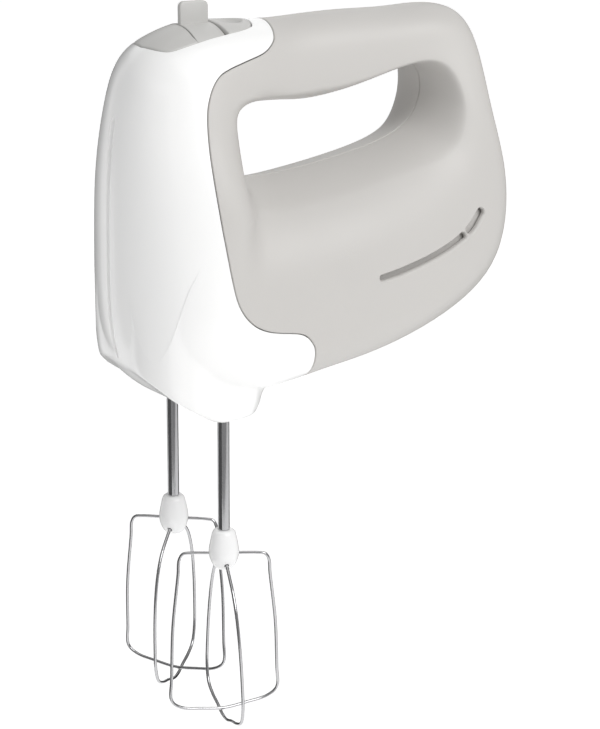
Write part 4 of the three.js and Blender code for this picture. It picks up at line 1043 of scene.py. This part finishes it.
# ---------------------------------------------------------------- gears, motor and switches
# Inside the housing are the worm drive, the series motor with its brushes and fan, the switches and
# the spring of the eject button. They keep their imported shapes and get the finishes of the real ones.
def banded(name, colour, dark, roughness, metallic, bands, axis, bump):
    """A finish with fine even bands square to an axis, such as wound wire or stacked sheets."""
    material, shader = new_material(name, roughness, metallic)
    tree = material.node_tree
    where = tree.nodes.new("ShaderNodeTexCoord")
    wave = tree.nodes.new("ShaderNodeTexWave")
    wave.bands_direction = axis
    wave.inputs["Scale"].default_value = bands
    wave.inputs["Distortion"].default_value = 0.6
    ramp = tree.nodes.new("ShaderNodeValToRGB")
    ramp.color_ramp.elements[0].color = (*dark, 1)
    ramp.color_ramp.elements[1].color = (*colour, 1)
    relief = tree.nodes.new("ShaderNodeBump")
    relief.inputs["Distance"].default_value = bump * MM
    tree.links.new(where.outputs["Object"], wave.inputs["Vector"])
    tree.links.new(wave.outputs["Fac"], ramp.inputs["Fac"])
    tree.links.new(ramp.outputs["Color"], shader.inputs["Base Color"])
    tree.links.new(wave.outputs["Fac"], relief.inputs["Height"])
    tree.links.new(relief.outputs["Normal"], shader.inputs["Normal"])
    return material


wound_copper = banded("wound_copper", (0.55, 0.22, 0.09), (0.2, 0.07, 0.03), 0.35, 0.8, 320, "X", 0.15)
stacked_steel = banded("stacked_steel", (0.42, 0.42, 0.44), (0.16, 0.16, 0.17), 0.45, 1.0, 300, "X", 0.05)
bar_copper = banded("commutator_bars", (0.62, 0.3, 0.14), (0.12, 0.06, 0.03), 0.3, 1.0, 60, "Y", 0.05)
natural_nylon = plastic("natural_nylon", (0.75, 0.72, 0.62), 0.5, 0.05, 0.08, 1200.0, 0.02)
black_plastic = plastic("black_pbt", (0.025, 0.025, 0.028), 0.5, 0.1, 0.1, 1600.0, 0.03)
carbon_block = plastic("carbon_block", (0.03, 0.03, 0.032), 0.7, 0.3, 0.1, 3000.0, 0.05)
paper_board = plastic("paper_board", (0.24, 0.13, 0.05), 0.55, 0.15, 0.1, 900.0, 0.02)
soft_brass = metal("pressed_brass", (0.62, 0.44, 0.17), 0.32)
along_steel = metal("motor_steel", (0.5, 0.5, 0.51), 0.28, (0.02, 1, 1))

FINISHES = {
    plain_steel: ["left_spindle", "right_spindle", "eject_spring", "left_brush_spring", "right_brush_spring"],
    along_steel: ["motor_shaft", "worm", "selector_pin"],
    natural_nylon: ["left_worm_wheel", "right_worm_wheel", "eject_pusher", "cooling_fan"],
    black_plastic: ["gear_frame", "rear_bracket", "speed_switch", "turbo_switch", "capacitor"],
    stacked_steel: ["armature_core", "field_core"],
    wound_copper: ["front_winding", "rear_winding", "lower_field_coil", "upper_field_coil"],
    bar_copper: ["commutator"],
    soft_brass: ["front_bearing", "rear_bearing", "left_brush_holder", "right_brush_holder"],
    carbon_block: ["left_brush", "right_brush"],
    paper_board: ["circuit_board"],
}
for material, names in FINISHES.items():
    for name in names:
        nodes[name].data.materials.clear()
        nodes[name].data.materials.append(material)


# ---------------------------------------------------------------- housing screws
# Five thread-forming screws pull the halves together from the +Y side; each has a pan head with a
# cross recess at the bottom of its pocket.
SCREW_R = 1.5
HEAD_R = 2.8
side_steel = metal("zinc_plated_steel", (0.55, 0.56, 0.58), 0.28, (1, 0.02, 1))
for k, (x, z) in enumerate(POSTS):
    profile = np.array([[0.4, -9], [SCREW_R, -8.2], [SCREW_R, HEAD_Y + GAP], [HEAD_R - 0.1, HEAD_Y + GAP],
                        [HEAD_R, HEAD_Y + GAP + 0.2], [HEAD_R - 0.1, HEAD_Y + 1.2],
                        [HEAD_R - 0.7, HEAD_Y + 1.9], [1.2, HEAD_Y + 2.3], [0.3, HEAD_Y + 2.4]])
    loops = np.zeros((len(profile), 48, 3))
    loops[..., [0, 2]] = [x, z] + ring * profile[:, None, :1]
    loops[..., 1] = profile[:, 1:]
    screw = closed_mesh("pan_screw_%d" % (k + 1), loops)
    for turn in (0.4, 0.4 + math.pi / 2):
        arm = rounded_rectangle(3.2, 0.75, 0.2)
        turned = arm @ np.array([[math.cos(turn), math.sin(turn)], [-math.sin(turn), math.cos(turn)]])
        recess = np.zeros((2, 24, 3))
        recess[0][:, [0, 2]] = [x, z] + turned * 0.6
        recess[1][:, [0, 2]] = [x, z] + turned
        recess[..., 1] = np.array([HEAD_Y + 1.0, HEAD_Y + 3])[:, None]
        combine(screw, closed_mesh("recess_tool", recess))
    sharp_over(screw, 35)
    finish_piece(screw, side_steel, "housing", "plain_steel", "housing_screw_%d" % (k + 1))


# ---------------------------------------------------------------- gland
# A short black sleeve in the heel, where the mains lead comes out of the real mixer.
gland_profile = np.array([[3.6, 122], [5.2, 122], [5.2, 134.6], [5.0, 135.2], [4.4, 135.3], [3.8, 134.9],
                          [3.6, 134.4]])
gland_loops = np.zeros((len(gland_profile), 48, 3))
gland_loops[..., 1:] = [0, INLET_Z] + ring * gland_profile[:, None, :1]
gland_loops[..., 0] = gland_profile[:, 1:]
gland = torus_mesh("gland_sleeve", gland_loops)
sharp_over(gland, 40)
finish_piece(gland, black_plastic, "housing", "dark_plastic", "cord_gland")
